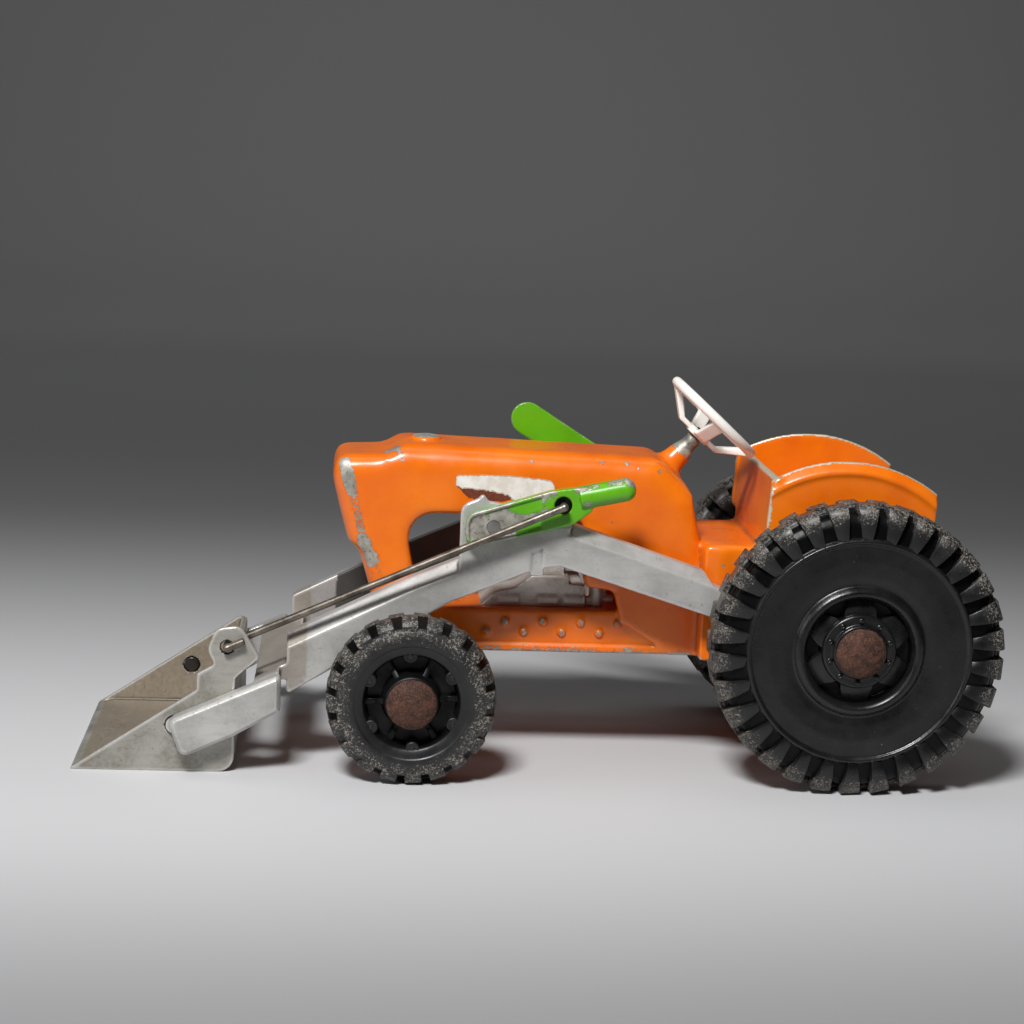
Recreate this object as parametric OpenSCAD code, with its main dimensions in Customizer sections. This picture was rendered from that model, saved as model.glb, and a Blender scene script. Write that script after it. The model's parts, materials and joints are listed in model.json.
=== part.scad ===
// Die-cast toy tractor with a front loader, in millimetres.
// The bucket is towards -X, the tractor's left side is -Y and +Z is up.
// Every shape is drawn with x = 0 on the rear axle and z = 0 on the ground,
// then placed so that the whole toy is centred on the origin.

/* [Wheels] */
// Diameter of a rear wheel over its lugs
rear_wheel_d = 94; // [93:0.5:95]
// Width of a rear tyre
rear_tyre_w = 17; // [15:0.5:17]
// Lugs on each side of a rear tyre
rear_lugs = 30; // [24:2:34]
// Diameter of a front wheel over its tread
front_wheel_d = 54; // [52:0.5:55]
// Width of a front tyre
front_tyre_w = 16; // [14:0.5:16]
// Shoulder blocks on each side of a front tyre
front_lugs = 20; // [16:2:24]
// Distance between the two axles
wheelbase = 140.5; // [140:0.5:142]
// Distance between the centre planes of the rear tyres
rear_track = 96; // [96:1:99]
// Distance between the centre planes of the front tyres
front_track = 94; // [94:1:98]

/* [Axles] */
// Diameter of the rear axle
rear_axle_d = 5; // [4:0.5:6]
// Diameter of the front axle
front_axle_d = 4; // [3:0.5:4.5]
// Diameter of the domed caps on the axle ends
cap_d = 16; // [14:1:18]
// Radial play of every shaft in its bore
play = 0.05; // [0.03:0.01:0.09]

/* [Tractor body] */
// Width of the hood
hood_w = 38; // [36:1:40]
// Width of the bumped chassis rails
rail_w = 35; // [34:1:36]
// Width of the rear housing between the loader arms
housing_w = 52; // [50:1:52]
// Width over the side walls of the two fenders
fender_w = 71; // [70:0.5:71]
// Thickness of the cast walls
wall = 2.5; // [2:0.25:3]
// Diameter of the vertical hole in the rear drawbar
hitch_hole_d = 4; // [3:0.5:5]

/* [Loader] */
// Distance between the inner faces of the two arms
arm_gap = 54; // [54:0.5:56]
// Width of one arm
arm_w = 9; // [8:0.5:9]
// Width of the bevel on the arm's outer top edge
arm_bevel = 3.7; // [3:0.1:4]
// Outer width of the bucket
bucket_w = 83; // [83:0.5:83.5]
// Thickness of the bucket's plates
bucket_plate = 2; // [1.5:0.25:2.25]
// Thickness of a bracket that carries the bucket
bracket_t = 6; // [5:0.5:7]
// Diameter of the steel tilt rod
rod_d = 2.5; // [2:0.1:2.6]

/* [Steering wheel] */
// Outer diameter of the steering wheel
steer_d = 37.3; // [34:0.1:39]
// Thickness of the steering wheel's rim
steer_rim_d = 3.3; // [2.8:0.1:3.6]

/* [Hidden] */
$fn = 48;

// Bodies of the assembly, from the axles outwards
rear_r = rear_wheel_d / 2;
front_r = front_wheel_d / 2;
bucket_tip_x = -247.5;
centre_shift = -(bucket_tip_x + rear_r) / 2;
rear_axle_r = rear_axle_d / 2;
front_axle_r = front_axle_d / 2;
cap_gap = 0.2;
cap_depth = 2.2;
rear_wheel_face = rear_track / 2 + rear_tyre_w / 2;
front_wheel_face = front_track / 2 + front_tyre_w / 2;

// Pivots of the loader, as [x, z]
bucket_pivot = [-215, 15.2];
rod_pivot = [-198.8, 40.7];
lever_pivot = [-116, 81];
rod_hole = [-94.2, 88.6];

// Faces of the loader, measured from the middle of the toy
arm_in = arm_gap / 2;
arm_out = arm_in + arm_w;
lever_in = arm_out + 0.2;
tilt_lever_out = lever_in + 3.8;
lift_lever_t = 2;
bucket_half = bucket_w / 2;
bracket_in = bucket_half + 0.5;
bracket_out = bracket_in + bracket_t;
rod_r = rod_d / 2;

// Steering column: its axis meets the rim's plane at steer_centre
steer_centre = [-41.5, 113.1];
steer_tilt = 42;

// Rounds the corners of an outline given as [x, z, radius]
function unit(v) = v / norm(v);
function corner_arc(before, p, after, r) =
    let (
        a = unit(before - p),
        b = unit(after - p),
        half = acos(a * b) / 2,
        c = p + unit(a + b) * r / sin(half),
        s = p + a * r / tan(half) - c,
        e = p + b * r / tan(half) - c,
        start = atan2(s.y, s.x),
        sweep = (atan2(e.y, e.x) - start + 540) % 360 - 180,
        steps = 6
    )
    [for (i = [0:steps]) c + r * [cos(start + sweep * i / steps), sin(start + sweep * i / steps)]];
function flat(p) = [p.x, p.y];
function rounded(points) = let (n = len(points)) [
    for (i = [0:n - 1])
        let (p = points[i])
        each p.z > 0
            ? corner_arc(flat(points[(i + n - 1) % n]), flat(p), flat(points[(i + 1) % n]), p.z)
            : [flat(p)]
];

// Moves every edge of an outline inwards by d, for outlines listed clockwise
function inset(points, d) = let (n = len(points)) [
    for (i = [0:n - 1])
        let (
            a = unit(flat(points[i]) - flat(points[(i + n - 1) % n])),
            b = unit(flat(points[(i + 1) % n]) - flat(points[i])),
            na = [a.y, -a.x],
            nb = [b.y, -b.x],
            m = (na + nb) * d / (1 + na * nb)
        )
        [points[i].x + m.x, points[i].y + m.y, max(points[i].z - d, min(points[i].z, 0.4))]
];

// Extrudes a side outline across the toy, between two distances from the middle
module side(points, y0, y1) {
    translate([0, y1, 0]) rotate([90, 0, 0]) linear_extrude(y1 - y0) polygon(rounded(points));
}

// The same on both sides of the toy
module both_sides() {
    children();
    mirror([0, 1, 0]) children();
}

// A cylinder across the toy
module cross_rod(at, r, y0, y1) {
    translate([at.x, y1, at.y]) rotate([90, 0, 0]) cylinder(h = y1 - y0, r = r);
}

// A round bar between two points
module bar(from, to, r) {
    d = to - from;
    translate(from) rotate([0, acos(d.z / norm(d)), atan2(d.y, d.x)]) cylinder(h = norm(d), r = r);
}

// The same with a rounded far end, turned as one shape
module round_ended_bar(from, to, r) {
    d = to - from;
    end_r = r - 0.6;
    translate(from) rotate([0, acos(d.z / norm(d)), atan2(d.y, d.x)]) rotate_extrude()
        polygon(concat(
            [[0, 0], [r, 0]],
            [for (a = [0:15:75]) [r - end_r + end_r * cos(a), norm(d) + end_r * sin(a)]],
            [[r - end_r, norm(d) + end_r], [0, norm(d) + end_r]]
        ));
}

// Cutter that rounds or bevels the outer edge running between two [x, z] points
module edge_cut(from, to, half_w, r, before = 0, after = 0, bevel = false) {
    d = to - from;
    over = 6;
    arc = bevel ? [[-r, 0], [0, -r]] : [for (a = [90:-30:0]) [r * cos(a) - r, r * sin(a) - r]];
    both_sides()
        translate([from.x, half_w, from.y]) rotate([0, -atan2(d.y, d.x), 0])
            translate([-before, 0, 0]) rotate([90, 0, 90]) linear_extrude(norm(d) + before + after)
                polygon(concat([[over, -r], [over, over], [-r, over]], arc));
}

// Side outline of the hood, nose, pedestal and rear panel, clockwise from the pedestal's foot
pedestal_foot = [-151, 36];
pedestal_bend = [-153.8, 54];
nose_notch = [-158.6, 69];
nose_foot = [-161.8, 70.6];
nose_front = [-167.4, 91.5];
nose_top = [-166.4, 99.2];
step_foot = [-150.5, 99.9];
step_head = [-144.8, 103.5];
hood_rear = [-60.5, 100.9];
panel_top = [-50.2, 91.3];
panel_mid = [-44.7, 66.3];
panel_foot = [-42.8, 36];
hood_outline = [
    [pedestal_foot.x, pedestal_foot.y, 0],
    [pedestal_bend.x, pedestal_bend.y, 6],
    [nose_notch.x, nose_notch.y, 0.5],
    [nose_foot.x, nose_foot.y, 1.2],
    [nose_front.x, nose_front.y, 6],
    [nose_top.x, nose_top.y, 4],
    [step_foot.x, step_foot.y, 3.5],
    [step_head.x, step_head.y, 4.5],
    [hood_rear.x, hood_rear.y, 6],
    [panel_top.x, panel_top.y, 10],
    [panel_mid.x, panel_mid.y, 3],
    [panel_foot.x, panel_foot.y, 0]
];
// Engine bay, open through both sides of the hood, clockwise from its lower front corner
bay_outline = [
    [-135.5, 30, 0],
    [-138.5, 56, 4],
    [-141.8, 71.5, 4],
    [-141.8, 81, 8],
    [-85.3, 81, 4],
    [-85.3, 57.2, 4],
    [-74.7, 57.2, 1.5],
    [-71.5, 47, 3],
    [-55, 36.5, 0],
    [-55, 30, 0]
];
// Hollow under the hood, open towards the ground
hood_hollow = [
    [-148.5, 33, 0],
    [-151, 54, 0],
    [-158.5, 74, 2],
    [-164.4, 91.3, 3],
    [-163.4, 96.4, 2],
    [-149.6, 97.2, 2],
    [-143.9, 100.8, 3],
    [-61.5, 98.2, 4],
    [-52.8, 90.2, 6],
    [-47.3, 66, 2],
    [-45.4, 33, 0]
];
chassis_z = 36;
tray_z = 50;

module hood() {
    half = hood_w / 2;
    inner = half - wall - 1;
    difference() {
        side(hood_outline, -half, half);
        side(hood_hollow, -inner, inner);
        side(bay_outline, -half - 1, half + 1);
        // Rounded shoulders, nose edges and rear edges
        edge_cut(pedestal_bend, nose_notch, half, 4, before = 30);
        edge_cut(nose_foot, nose_front, half, 5.5, before = 4);
        edge_cut(nose_front, nose_top, half, 5, after = 5);
        edge_cut(nose_top, step_foot, half, 5, before = 4);
        edge_cut(step_foot, step_head, half, 5);
        edge_cut(step_head, hood_rear, half, 6.5, after = 3);
        edge_cut(hood_rear, panel_top, half, 7, before = 2, after = 2);
        edge_cut(panel_top, panel_mid, half, 4, before = 2);
    }
}

// Inverted channel that joins the pedestal to the rear housing
module chassis() {
    x0 = pedestal_foot.x + 1;
    length = panel_foot.x - x0 + 4;
    lip_h = 2.4;
    difference() {
        union() {
            translate([x0, -rail_w / 2, chassis_z]) cube([length, rail_w, tray_z - chassis_z]);
            translate([x0, -rail_w / 2 - 1, chassis_z]) cube([length, rail_w + 2, lip_h]);
        }
        translate([x0 + wall, -rail_w / 2 + wall, chassis_z - 1])
            cube([length, rail_w - 2 * wall, tray_z - chassis_z + 1 - wall]);
    }
    rail_bumps();
}

// Two staggered rows of round bumps along each rail
module rail_bumps() {
    pitch = 12.4;
    first_x = -109.6;
    for (i = [0:3])
        both_sides() {
            translate([first_x + pitch * i, rail_w / 2 - 0.4, 46]) sphere(r = 1.45);
            translate([first_x - pitch / 2 + pitch * i, rail_w / 2 - 0.4, 42.6]) sphere(r = 1.45);
        }
}

// Boss under the chassis that carries the front axle
module front_axle_boss() {
    half = rail_w / 2 - 1;
    difference() {
        side([
            [-wheelbase - 6, chassis_z + 4, 0],
            [-wheelbase + 6, chassis_z + 4, 0],
            [-wheelbase + 5, front_r - 5.5, 4.5],
            [-wheelbase - 5, front_r - 5.5, 4.5]
        ], -half, half);
        cross_rod([-wheelbase, front_r], front_axle_r + play, -half - 1, half + 1);
    }
}

housing_x0 = -46.2;
housing_x1 = 12;
platform_z = 74.5;

// Box around the rear axle with a flat top, open underneath
module rear_housing() {
    half = housing_w / 2;
    boss_r = rear_axle_r + 3;
    difference() {
        union() {
            difference() {
                side([
                    [housing_x0, chassis_z, 0],
                    [housing_x0, platform_z, 2],
                    [housing_x1, platform_z, 2],
                    [housing_x1, chassis_z, 0]
                ], -half, half);
                translate([housing_x0 + wall, -half + wall, chassis_z - 1])
                    cube([housing_x1 - housing_x0 - 2 * wall, housing_w - 2 * wall,
                        platform_z - chassis_z + 1 - wall]);
            }
            both_sides() cross_rod([0, rear_r], boss_r, half - 12, half);
            // Upright rib on each side of the platform
            both_sides() translate([-40.5, half - 0.6, 60]) cylinder(h = 13, r = 2.2);
        }
        cross_rod([0, rear_r], rear_axle_r + play, -half - 1, half + 1);
        // Upright ribs stay clear of the loader arms
        both_sides() translate([-50, half + 0.6, 50]) cube([20, 4, 30]);
    }
}

// The fender's top edge is an arc about this point
fender_arc = [-2.2, 55.9];
fender_arc_r = 48.8;
fender_outline = [
    [-28.3, 79.5, 1],
    [-26.2, 115, 0],
    [40, 115, 0],
    [27.2, 94.8, 0],
    [26, 72, 3],
    [22, 69.5, 2],
    [-18, 69.5, 3],
    [-22.5, 74, 0.5]
];

// Side wall of one fender, with a bevelled band along its top
module fender() {
    out = fender_w / 2;
    inner = out - 3.6;
    intersection() {
        side(fender_outline, inner - 1, out + 1);
        translate([fender_arc.x, 0, fender_arc.y]) rotate([-90, 0, 0]) rotate_extrude($fn = 96)
            polygon([
                [0, inner],
                [fender_arc_r - 0.6, inner],
                [fender_arc_r, inner + 0.6],
                [fender_arc_r - 0.6, inner + 1.4],
                [fender_arc_r - 3.4, out + 0.3],
                [fender_arc_r - 4.2, out + 0.3],
                [fender_arc_r - 4.8, out - 0.5],
                [0, out - 0.5]
            ]);
    }
}

// Panel between the two fenders, floor, seat and drawbar
module seat_tub() {
    inner = fender_w / 2 - 3.4;
    floor_t = 2.5;
    panel_t = 2.4;
    both_sides() fender();
    // Front panel, with bevelled top edges
    side([
        [-28.1, 78.6, 0],
        [-26.1, 98.4, 0.7],
        [-26.1 + panel_t, 98.4, 0.7],
        [-25.6 + panel_t, 76.5, 0]
    ], -fender_w / 2 + 0.5, fender_w / 2 - 0.5);
    side([
        [-28.3, platform_z - 1, 0],
        [-28.1, 79, 0],
        [-23.2, 79, 0],
        [-23.2, platform_z - 1, 0]
    ], -housing_w / 2, housing_w / 2);
    // Floor of the tub
    translate([-20, -inner, platform_z - floor_t]) cube([44, inner * 2, floor_t]);
    translate([-24, -housing_w / 2, platform_z - floor_t]) cube([10, housing_w, floor_t]);
    // Seat and its low back
    side([
        [-8, platform_z - 1, 0],
        [-8, 81, 2.5],
        [15, 79.5, 2],
        [18, 92, 1.2],
        [21, 92, 1.2],
        [21, platform_z - 1, 0]
    ], -15, 15);
}

hitch_x = 26;
hitch_t = 3.5;
hitch_z = 40;

module drawbar() {
    half = 5;
    difference() {
        union() {
            translate([housing_x1 - 3, -half, hitch_z]) cube([hitch_x - housing_x1 + 3, half * 2, hitch_t]);
            translate([hitch_x, 0, hitch_z]) cylinder(h = hitch_t, r = half);
        }
        translate([hitch_x, 0, hitch_z - 1]) cylinder(h = hitch_t + 2, r = hitch_hole_d / 2);
    }
}

// Places its children on the steering column, z = 0 in the rim's plane, pointing up the column
module on_column() {
    translate([steer_centre.x, 0, steer_centre.y]) rotate([0, steer_tilt, 0]) children();
}

spigot_r = 1.5;
post_r = 2.9;
post_top = -9.3;
hub_face = -6.3;

module steering_post() {
    head_h = 0.5;
    on_column() {
        translate([0, 0, -27]) cylinder(h = 27 + post_top, r = post_r);
        translate([0, 0, -26]) cylinder(h = 12, r1 = 5.6, r2 = 3.6);
        translate([0, 0, post_top - 1]) cylinder(h = hub_face - post_top + 1.1 + head_h, r = spigot_r);
        translate([0, 0, hub_face + 0.1]) cylinder(h = head_h, r = spigot_r + 0.6);
    }
}

// Round filler cap cast on the hood
module filler_cap() {
    translate([-137, 0, 100]) intersection() {
        cylinder(h = 5, r = 5.4);
        translate([0, 0, -9.6]) sphere(r = 14.5, $fn = 96);
    }
}

module body_casting() {
    color("darkorange") difference() {
        union() {
            hood();
            chassis();
            front_axle_boss();
            rear_housing();
            seat_tub();
            drawbar();
            filler_cap();
            steering_post();
        }
        // Hole for the rivet that holds the engine block
        translate([engine_rivet_x, 0, tray_z - wall - 1]) cylinder(h = wall + 2, r = engine_rivet_r);
    }
}

// Paper label on the left side of the hood
module hood_label() {
    color("ivory") side([
        [-127.4, 88.4, 1],
        [-127.4, 94.6, 1],
        [-95.4, 94.6, 1],
        [-95.4, 88.4, 1]
    ], -hood_w / 2 - 0.12, -hood_w / 2);
}

engine_rivet_x = -100;
engine_rivet_r = 1.6;
engine_half = 12;

// Bare cast engine that sits on the chassis tray
module engine_block() {
    color("silver") difference() {
        union() {
            side([
                [-117.5, tray_z, 0],
                [-113, 54.5, 1.5],
                [-107, 55.8, 0.5],
                [-103.6, 58, 0.6],
                [-101, 60.3, 0.5],
                [-88.5, 60.3, 0.5],
                [-88.5, 57.6, 0.5],
                [-83.2, 57.6, 0.8],
                [-83.2, tray_z, 0]
            ], -engine_half, engine_half);
            side([
                [-99, 59, 0],
                [-99, 67, 1.5],
                [-90, 67, 1.5],
                [-90, 59, 0]
            ], -engine_half + 2, engine_half - 2);
            // Recessed sump pads along the lower edge
            for (x = [-112, -99, -90])
                translate([x, -engine_half - 0.6, tray_z + 1]) cube([7, engine_half * 2 + 1.2, 2.6]);
        }
        translate([engine_rivet_x, 0, tray_z - 1]) cylinder(h = 12, r = engine_rivet_r);
    }
    // Oil filter and its pipe, cast in one with the block
    color("silver") both_sides() {
        translate([-79.2, engine_half - 3.3, tray_z]) cylinder(h = 7.2, r = 2.3);
        translate([-84, engine_half - 4.8, tray_z]) cube([4, 3, 3]);
        bar([-79, engine_half - 3.3, 52.4], [-73.4, engine_half - 3.3, 52.4], 1.1);
    }
}

// Rivet from under the tray into the engine block
module engine_rivet() {
    head_r = 3;
    head_h = 1;
    color("gray") {
        translate([engine_rivet_x, 0, tray_z - wall - head_h]) cylinder(h = head_h, r = head_r);
        translate([engine_rivet_x, 0, tray_z - wall - head_h / 2])
            cylinder(h = wall + 9, r = engine_rivet_r);
    }
}

module steering_wheel() {
    rim_r = steer_rim_d / 2;
    ring_r = steer_d / 2 - rim_r;
    hub_t = 2.6;
    spoke_w = 4.6;
    color("white") on_column() difference() {
        union() {
            rotate_extrude($fn = 96) translate([ring_r, 0]) circle(r = rim_r);
            translate([0, 0, hub_face - hub_t]) cylinder(h = hub_t, r = 4.2);
            // Four spokes that rise from the dished hub to the rim
            for (a = [0:90:270])
                rotate([0, 0, a]) rotate([90, 0, 0]) translate([0, 0, -spoke_w / 2])
                    linear_extrude(spoke_w) polygon([
                        [2, hub_face - hub_t + 0.6],
                        [8.2, hub_face - hub_t + 0.6],
                        [ring_r + 0.9, -1],
                        [ring_r + 0.2, 0.9],
                        [ring_r - 1.6, 0.4],
                        [7.4, hub_face - 0.3],
                        [2, hub_face - 0.3]
                    ]);
        }
        translate([0, 0, hub_face - hub_t - 1]) cylinder(h = hub_t + 2, r = spigot_r + play);
    }
}

module axle(at, r, half_length) {
    color("dimgray") cross_rod(at, r, -half_length, half_length);
}

// Domed cap pressed on the left (side = -1) or right (side = 1) end of an axle
module axle_cap(at, side_sign, face, axle_radius) {
    rim_h = 1.2;
    dome_h = 2.6;
    cap_r = cap_d / 2;
    dome_r = (cap_r * cap_r + dome_h * dome_h) / (2 * dome_h);
    color("saddlebrown") translate([at.x, side_sign * (face + cap_gap), at.y])
        rotate([side_sign * -90, 0, 0]) difference() {
            union() {
                cylinder(h = rim_h, r = cap_r - 0.3);
                intersection() {
                    translate([0, 0, rim_h + dome_h - dome_r]) sphere(r = dome_r, $fn = 96);
                    translate([0, 0, 0.4]) cylinder(h = 10, r = cap_r);
                }
            }
            translate([0, 0, -1]) cylinder(h = cap_depth + 1, r = axle_radius);
        }
}

// Closed outline of a ring of n blocks between two radii, each filling a share of its pitch
function block_ring(n, r0, r1, share, turn) = [
    for (i = [0:n - 1])
        let (a = 360 * i / n + turn, h = 180 / n * share)
        each [
            r0 * [cos(a - h * 1.06), sin(a - h * 1.06)],
            r1 * [cos(a - h), sin(a - h)],
            r1 * [cos(a + h), sin(a + h)],
            r0 * [cos(a + h * 1.06), sin(a + h * 1.06)]
        ]
];

// Tread blocks of both halves of a tyre, staggered by half a pitch
module tread(n, r0, r1, width, share) {
    for (s = [0, 1])
        mirror([0, 0, s]) translate([0, 0, -0.4]) linear_extrude(width / 2 + 0.4)
            polygon(block_ring(n, r0, r1 + 2, share, 90 + s * 180 / n));
}

// Rear wheel: tyre, dished hub and bore moulded in one, axis along z, outer face up
module rear_wheel() {
    h = rear_tyre_w / 2;
    r = rear_r;
    color([0.12, 0.12, 0.12]) difference() {
        union() {
            rotate_extrude($fn = 120) polygon([
                [0, -h + 3], [12, -h + 3], [20, -h + 1], [r - 14, -h],
                [r - 11.5, -h + 0.6], [r - 3, -h + 2.6], [r - 3, -2], [r - 1.2, -1.2],
                [r - 1.2, 1.2], [r - 3, 2], [r - 3, h - 2.6],
                [r - 11.5, h - 0.6], [r - 12.3, h], [r - 13.4, h - 1.4], [22.4, h - 1.8],
                [21.4, h - 0.4], [20.2, h], [18.9, h - 0.8], [18.2, h - 5.5],
                [12.8, h - 5.5], [12.4, h - 1.2], [11.6, h - 0.6], [7, h - 0.6], [6.6, h], [0, h]
            ]);
            intersection() {
                tread(rear_lugs, r - 13, r, rear_tyre_w, 0.6);
                rotate_extrude($fn = 120) polygon([
                    [r - 14, -h], [r - 8, -h + 0.2], [r - 1.6, -h + 1.6], [r, -h + 2.6],
                    [r, h - 2.6], [r - 1.6, h - 1.6], [r - 8, h - 0.2], [r - 14, h]
                ]);
            }
            // Six raised pads round the hub
            for (a = [30:60:330])
                rotate([0, 0, a]) translate([14.6, 0, h - 6]) cylinder(h = 3.4, r = 2.6);
        }
        translate([0, 0, -h - 1]) cylinder(h = 2 * h + 2, r = rear_axle_r + play);
    }
}

module front_wheel() {
    h = front_tyre_w / 2;
    r = front_r;
    color([0.12, 0.12, 0.12]) difference() {
        union() {
            rotate_extrude($fn = 96) polygon([
                [0, -h + 2], [10, -h + 2], [16, -h + 0.5], [r - 7, -h],
                [r - 3.6, -h + 0.9], [r - 1.8, -h + 2.8], [r - 0.8, -h + 5],
                [r - 0.8, h - 5], [r - 1.8, h - 2.8], [r - 3.6, h - 0.9],
                [r - 7, h], [17.2, h - 0.6], [16, h - 1.6], [15.6, h - 6], [9.6, h - 6],
                [9.2, h - 0.5], [8.4, h], [0, h]
            ]);
            intersection() {
                tread(front_lugs, r - 4.4, r, front_tyre_w, 0.62);
                rotate_extrude($fn = 96) polygon([
                    [r - 5.4, -h + 0.2], [r - 3, -h + 0.6], [r - 0.8, -h + 2.6], [r, -h + 4.6],
                    [r, h - 4.6], [r - 0.8, h - 2.6], [r - 3, h - 0.6], [r - 5.4, h - 0.2]
                ]);
            }
            // Six half-round bosses inside the rim
            for (a = [0:60:300])
                rotate([0, 0, a]) translate([14.6, 0, h - 7]) cylinder(h = 5, r = 2.3);
        }
        translate([0, 0, -h - 1]) cylinder(h = 2 * h + 2, r = front_axle_r + play);
    }
}

// Puts a wheel on its axle; side_sign -1 is the left side
module mounted(at, side_sign, track) {
    translate([at.x, side_sign * track / 2, at.y]) rotate([side_sign * -90, 0, 0]) children();
}

// Side outline of one loader arm, clockwise from its lower front corner
arm_front_top = [-180.3, 39.7];
arm_bend = [-144.4, 57.7];
arm_apex = [-99.7, 77.2];
arm_apex_rear = [-90.6, 77.9];
arm_rear_top = [-46, 63.4];
arm_outline = [
    [-180.1, 24.3, 0.8],
    [arm_front_top.x, arm_front_top.y + arm_bevel, 0.8],
    [arm_bend.x, arm_bend.y + arm_bevel, 6],
    [arm_apex.x, arm_apex.y + arm_bevel, 3],
    [arm_apex_rear.x, arm_apex_rear.y + arm_bevel, 3],
    [arm_rear_top.x - 1, arm_rear_top.y + arm_bevel, 0.6],
    [arm_rear_top.x + 2, arm_rear_top.y - 0.6, 0.6],
    [-4, 49.3, 0],
    [-4, 41, 0],
    [-46, 53.3, 0],
    [-93.9, 68.2, 1],
    [-101.4, 67.3, 1],
    [-128.5, 55.8, 4]
];
arm_inner_outline = [
    [-179, 15, 0],
    [-179, 36.5, 0],
    [-144.4, 54.5, 0],
    [-106, 72, 0],
    [-90.6, 72.9, 0],
    [-48, 59, 0],
    [-48, 45, 0]
];
eye_r = 17;
eye_t = 4;

module arm() {
    difference() {
        union() {
            side(arm_outline, arm_in, arm_out);
            cross_rod([0, rear_r], eye_r, arm_out - eye_t, arm_out);
            // Post below the apex
            translate([-103.6, arm_in, 64.9]) cube([4.4, arm_w - 0.5, 6]);
        }
        // Hollow underside
        side(arm_inner_outline, arm_in + 2, arm_out - 2);
        // Shallow groove down the outer face, above the post
        translate([-103.6, arm_out - 0.5, 60]) cube([4.4, 1, arm_apex.y - 60]);
    }
}

// Plate on the left arm that carries the tilt lever
module lever_lug() {
    lug_t = 2.5;
    side([
        [-126.3, 64, 0],
        [-126.3, 87, 4],
        [-121, 89.2, 1],
        [-119.4, 91, 0.8],
        [-117.6, 88.6, 1],
        [-103, 86, 4],
        [-98, 79, 2],
        [-100, 74, 0]
    ], -arm_out, -arm_out + lug_t);
}

// Flat bar that carries the two brackets, with a wider root between the arms
module cross_member() {
    bar_half = bracket_in + 1;
    side([
        [-190.2, 25.6, 0.8],
        [-190.2, 30.1, 0.8],
        [-182.4, 33.6, 0.4],
        [-182.4, 28.6, 0.4]
    ], -bar_half, bar_half);
    side([
        [-186, 27.6, 0.4],
        [-186, 32, 0.4],
        [-176, 36.5, 0.4],
        [-176, 31, 0.4]
    ], -arm_out, arm_out);
}

bracket_outline = [
    [-217, 17.9, 3],
    [-181.6, 33.7, 1.6],
    [-181.6, 21.6, 1.6],
    [-196, 13.2, 8],
    [-212.4, 5.8, 2.6]
];
pivot_r = 2.65;

// Bracket outside the bucket, with the stud that the bucket turns on
module bracket() {
    difference() {
        side(bracket_outline, bracket_in, bracket_out);
        for (i = [1:3])
            difference() {
                translate([-220, bracket_out - 0.4 * (4 - i), 0]) cube([45, 2, 40]);
                side(inset(bracket_outline, 0.4 * i), bracket_in - 1, bracket_out + 4);
            }
    }
    cross_rod(bucket_pivot, pivot_r, bucket_half - bucket_plate - 0.3, bracket_in + 1);
}

// Both arms, with a bevel along their outer top edges
module arms() {
    rise = [0, arm_bevel];
    difference() {
        both_sides() arm();
        edge_cut(arm_front_top + rise, arm_bend + rise, arm_out, arm_bevel, before = 5, bevel = true);
        edge_cut(arm_bend + rise, arm_apex + rise, arm_out, arm_bevel, bevel = true);
        edge_cut(arm_apex_rear + rise, arm_rear_top + rise, arm_out, arm_bevel, after = 3, bevel = true);
    }
}

module loader_frame() {
    color("silver") difference() {
        union() {
            arms();
            lever_lug();
            cross_member();
            both_sides() bracket();
        }
        cross_rod([0, rear_r], rear_axle_r + play, -arm_out - 1, arm_out + 1);
        cross_rod(lever_pivot, lever_pin_r, -arm_out - 1, -arm_out + 4);
        cross_rod(lift_rivet, lift_rivet_r, lift_rivet_in, arm_out + 1);
    }
}

// Side outline of the bucket, clockwise from its cutting edge
bucket_back_x = -196;
bucket_outline = [
    [bucket_tip_x, 0, 0],
    [bucket_tip_x, 0.5, 0],
    [-198.6, 32.9, 0.8],
    [bucket_back_x, 32.2, 0.8],
    [bucket_back_x, 0, 5]
];
bucket_hollow = [
    [bucket_tip_x - 3, 0.6, 0],
    [bucket_tip_x - 3, 60, 0],
    [bucket_back_x - bucket_plate, 60, 0],
    [bucket_back_x - bucket_plate, bucket_plate, 3],
    [-241.5, bucket_plate, 0],
    [bucket_tip_x, 0.6, 0]
];

// Plate on the bucket's left side with the hole for the tilt rod
module rod_lug() {
    side([
        [-208.1, 20, 0],
        [-208.1, 31.8, 0.8],
        [-202.6, 35, 1],
        [-205, 39.6, 4],
        [-202.4, 46.6, 4],
        [-194.6, 47.6, 3.5],
        [-188.3, 37.4, 1],
        [-196.2, 30.5, 0.5],
        [-198, 20, 0]
    ], -bucket_half, -bucket_half + bucket_plate);
}

module bucket() {
    inner = bucket_half - bucket_plate;
    color("silver") difference() {
        union() {
            difference() {
                side(bucket_outline, -bucket_half, bucket_half);
                side(bucket_hollow, -inner, inner);
            }
            rod_lug();
        }
        cross_rod(bucket_pivot, pivot_r + 2 * play, -bucket_half - 1, bucket_half + 1);
        cross_rod(rod_pivot, rod_r + 0.8, -bucket_half - 1, -inner + 1);
    }
}

// Steel rod bent at both ends; its rear end stops just outside the lever's hole
module tilt_rod() {
    y_run = bucket_half - bucket_plate - rod_r - 1.1;
    y_stub = bucket_half + rod_r + 0.45;
    y_rear = tilt_lever_out + rod_r + 2.2;
    y_end = tilt_lever_out + 0.15;
    along = unit(rod_hole - rod_pivot) * 6;
    path = [
        [rod_pivot.x + along.x, -y_stub, rod_pivot.y + along.y],
        [rod_pivot.x, -y_stub, rod_pivot.y],
        [rod_pivot.x, -y_run, rod_pivot.y],
        [rod_hole.x, -y_rear, rod_hole.y],
        [rod_hole.x, -y_end, rod_hole.y]
    ];
    color("dimgray") {
        for (i = [0:3]) bar(path[i], path[i + 1], rod_r);
        for (i = [1:3]) translate(path[i]) sphere(r = rod_r + 0.1);
    }
}

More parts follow.
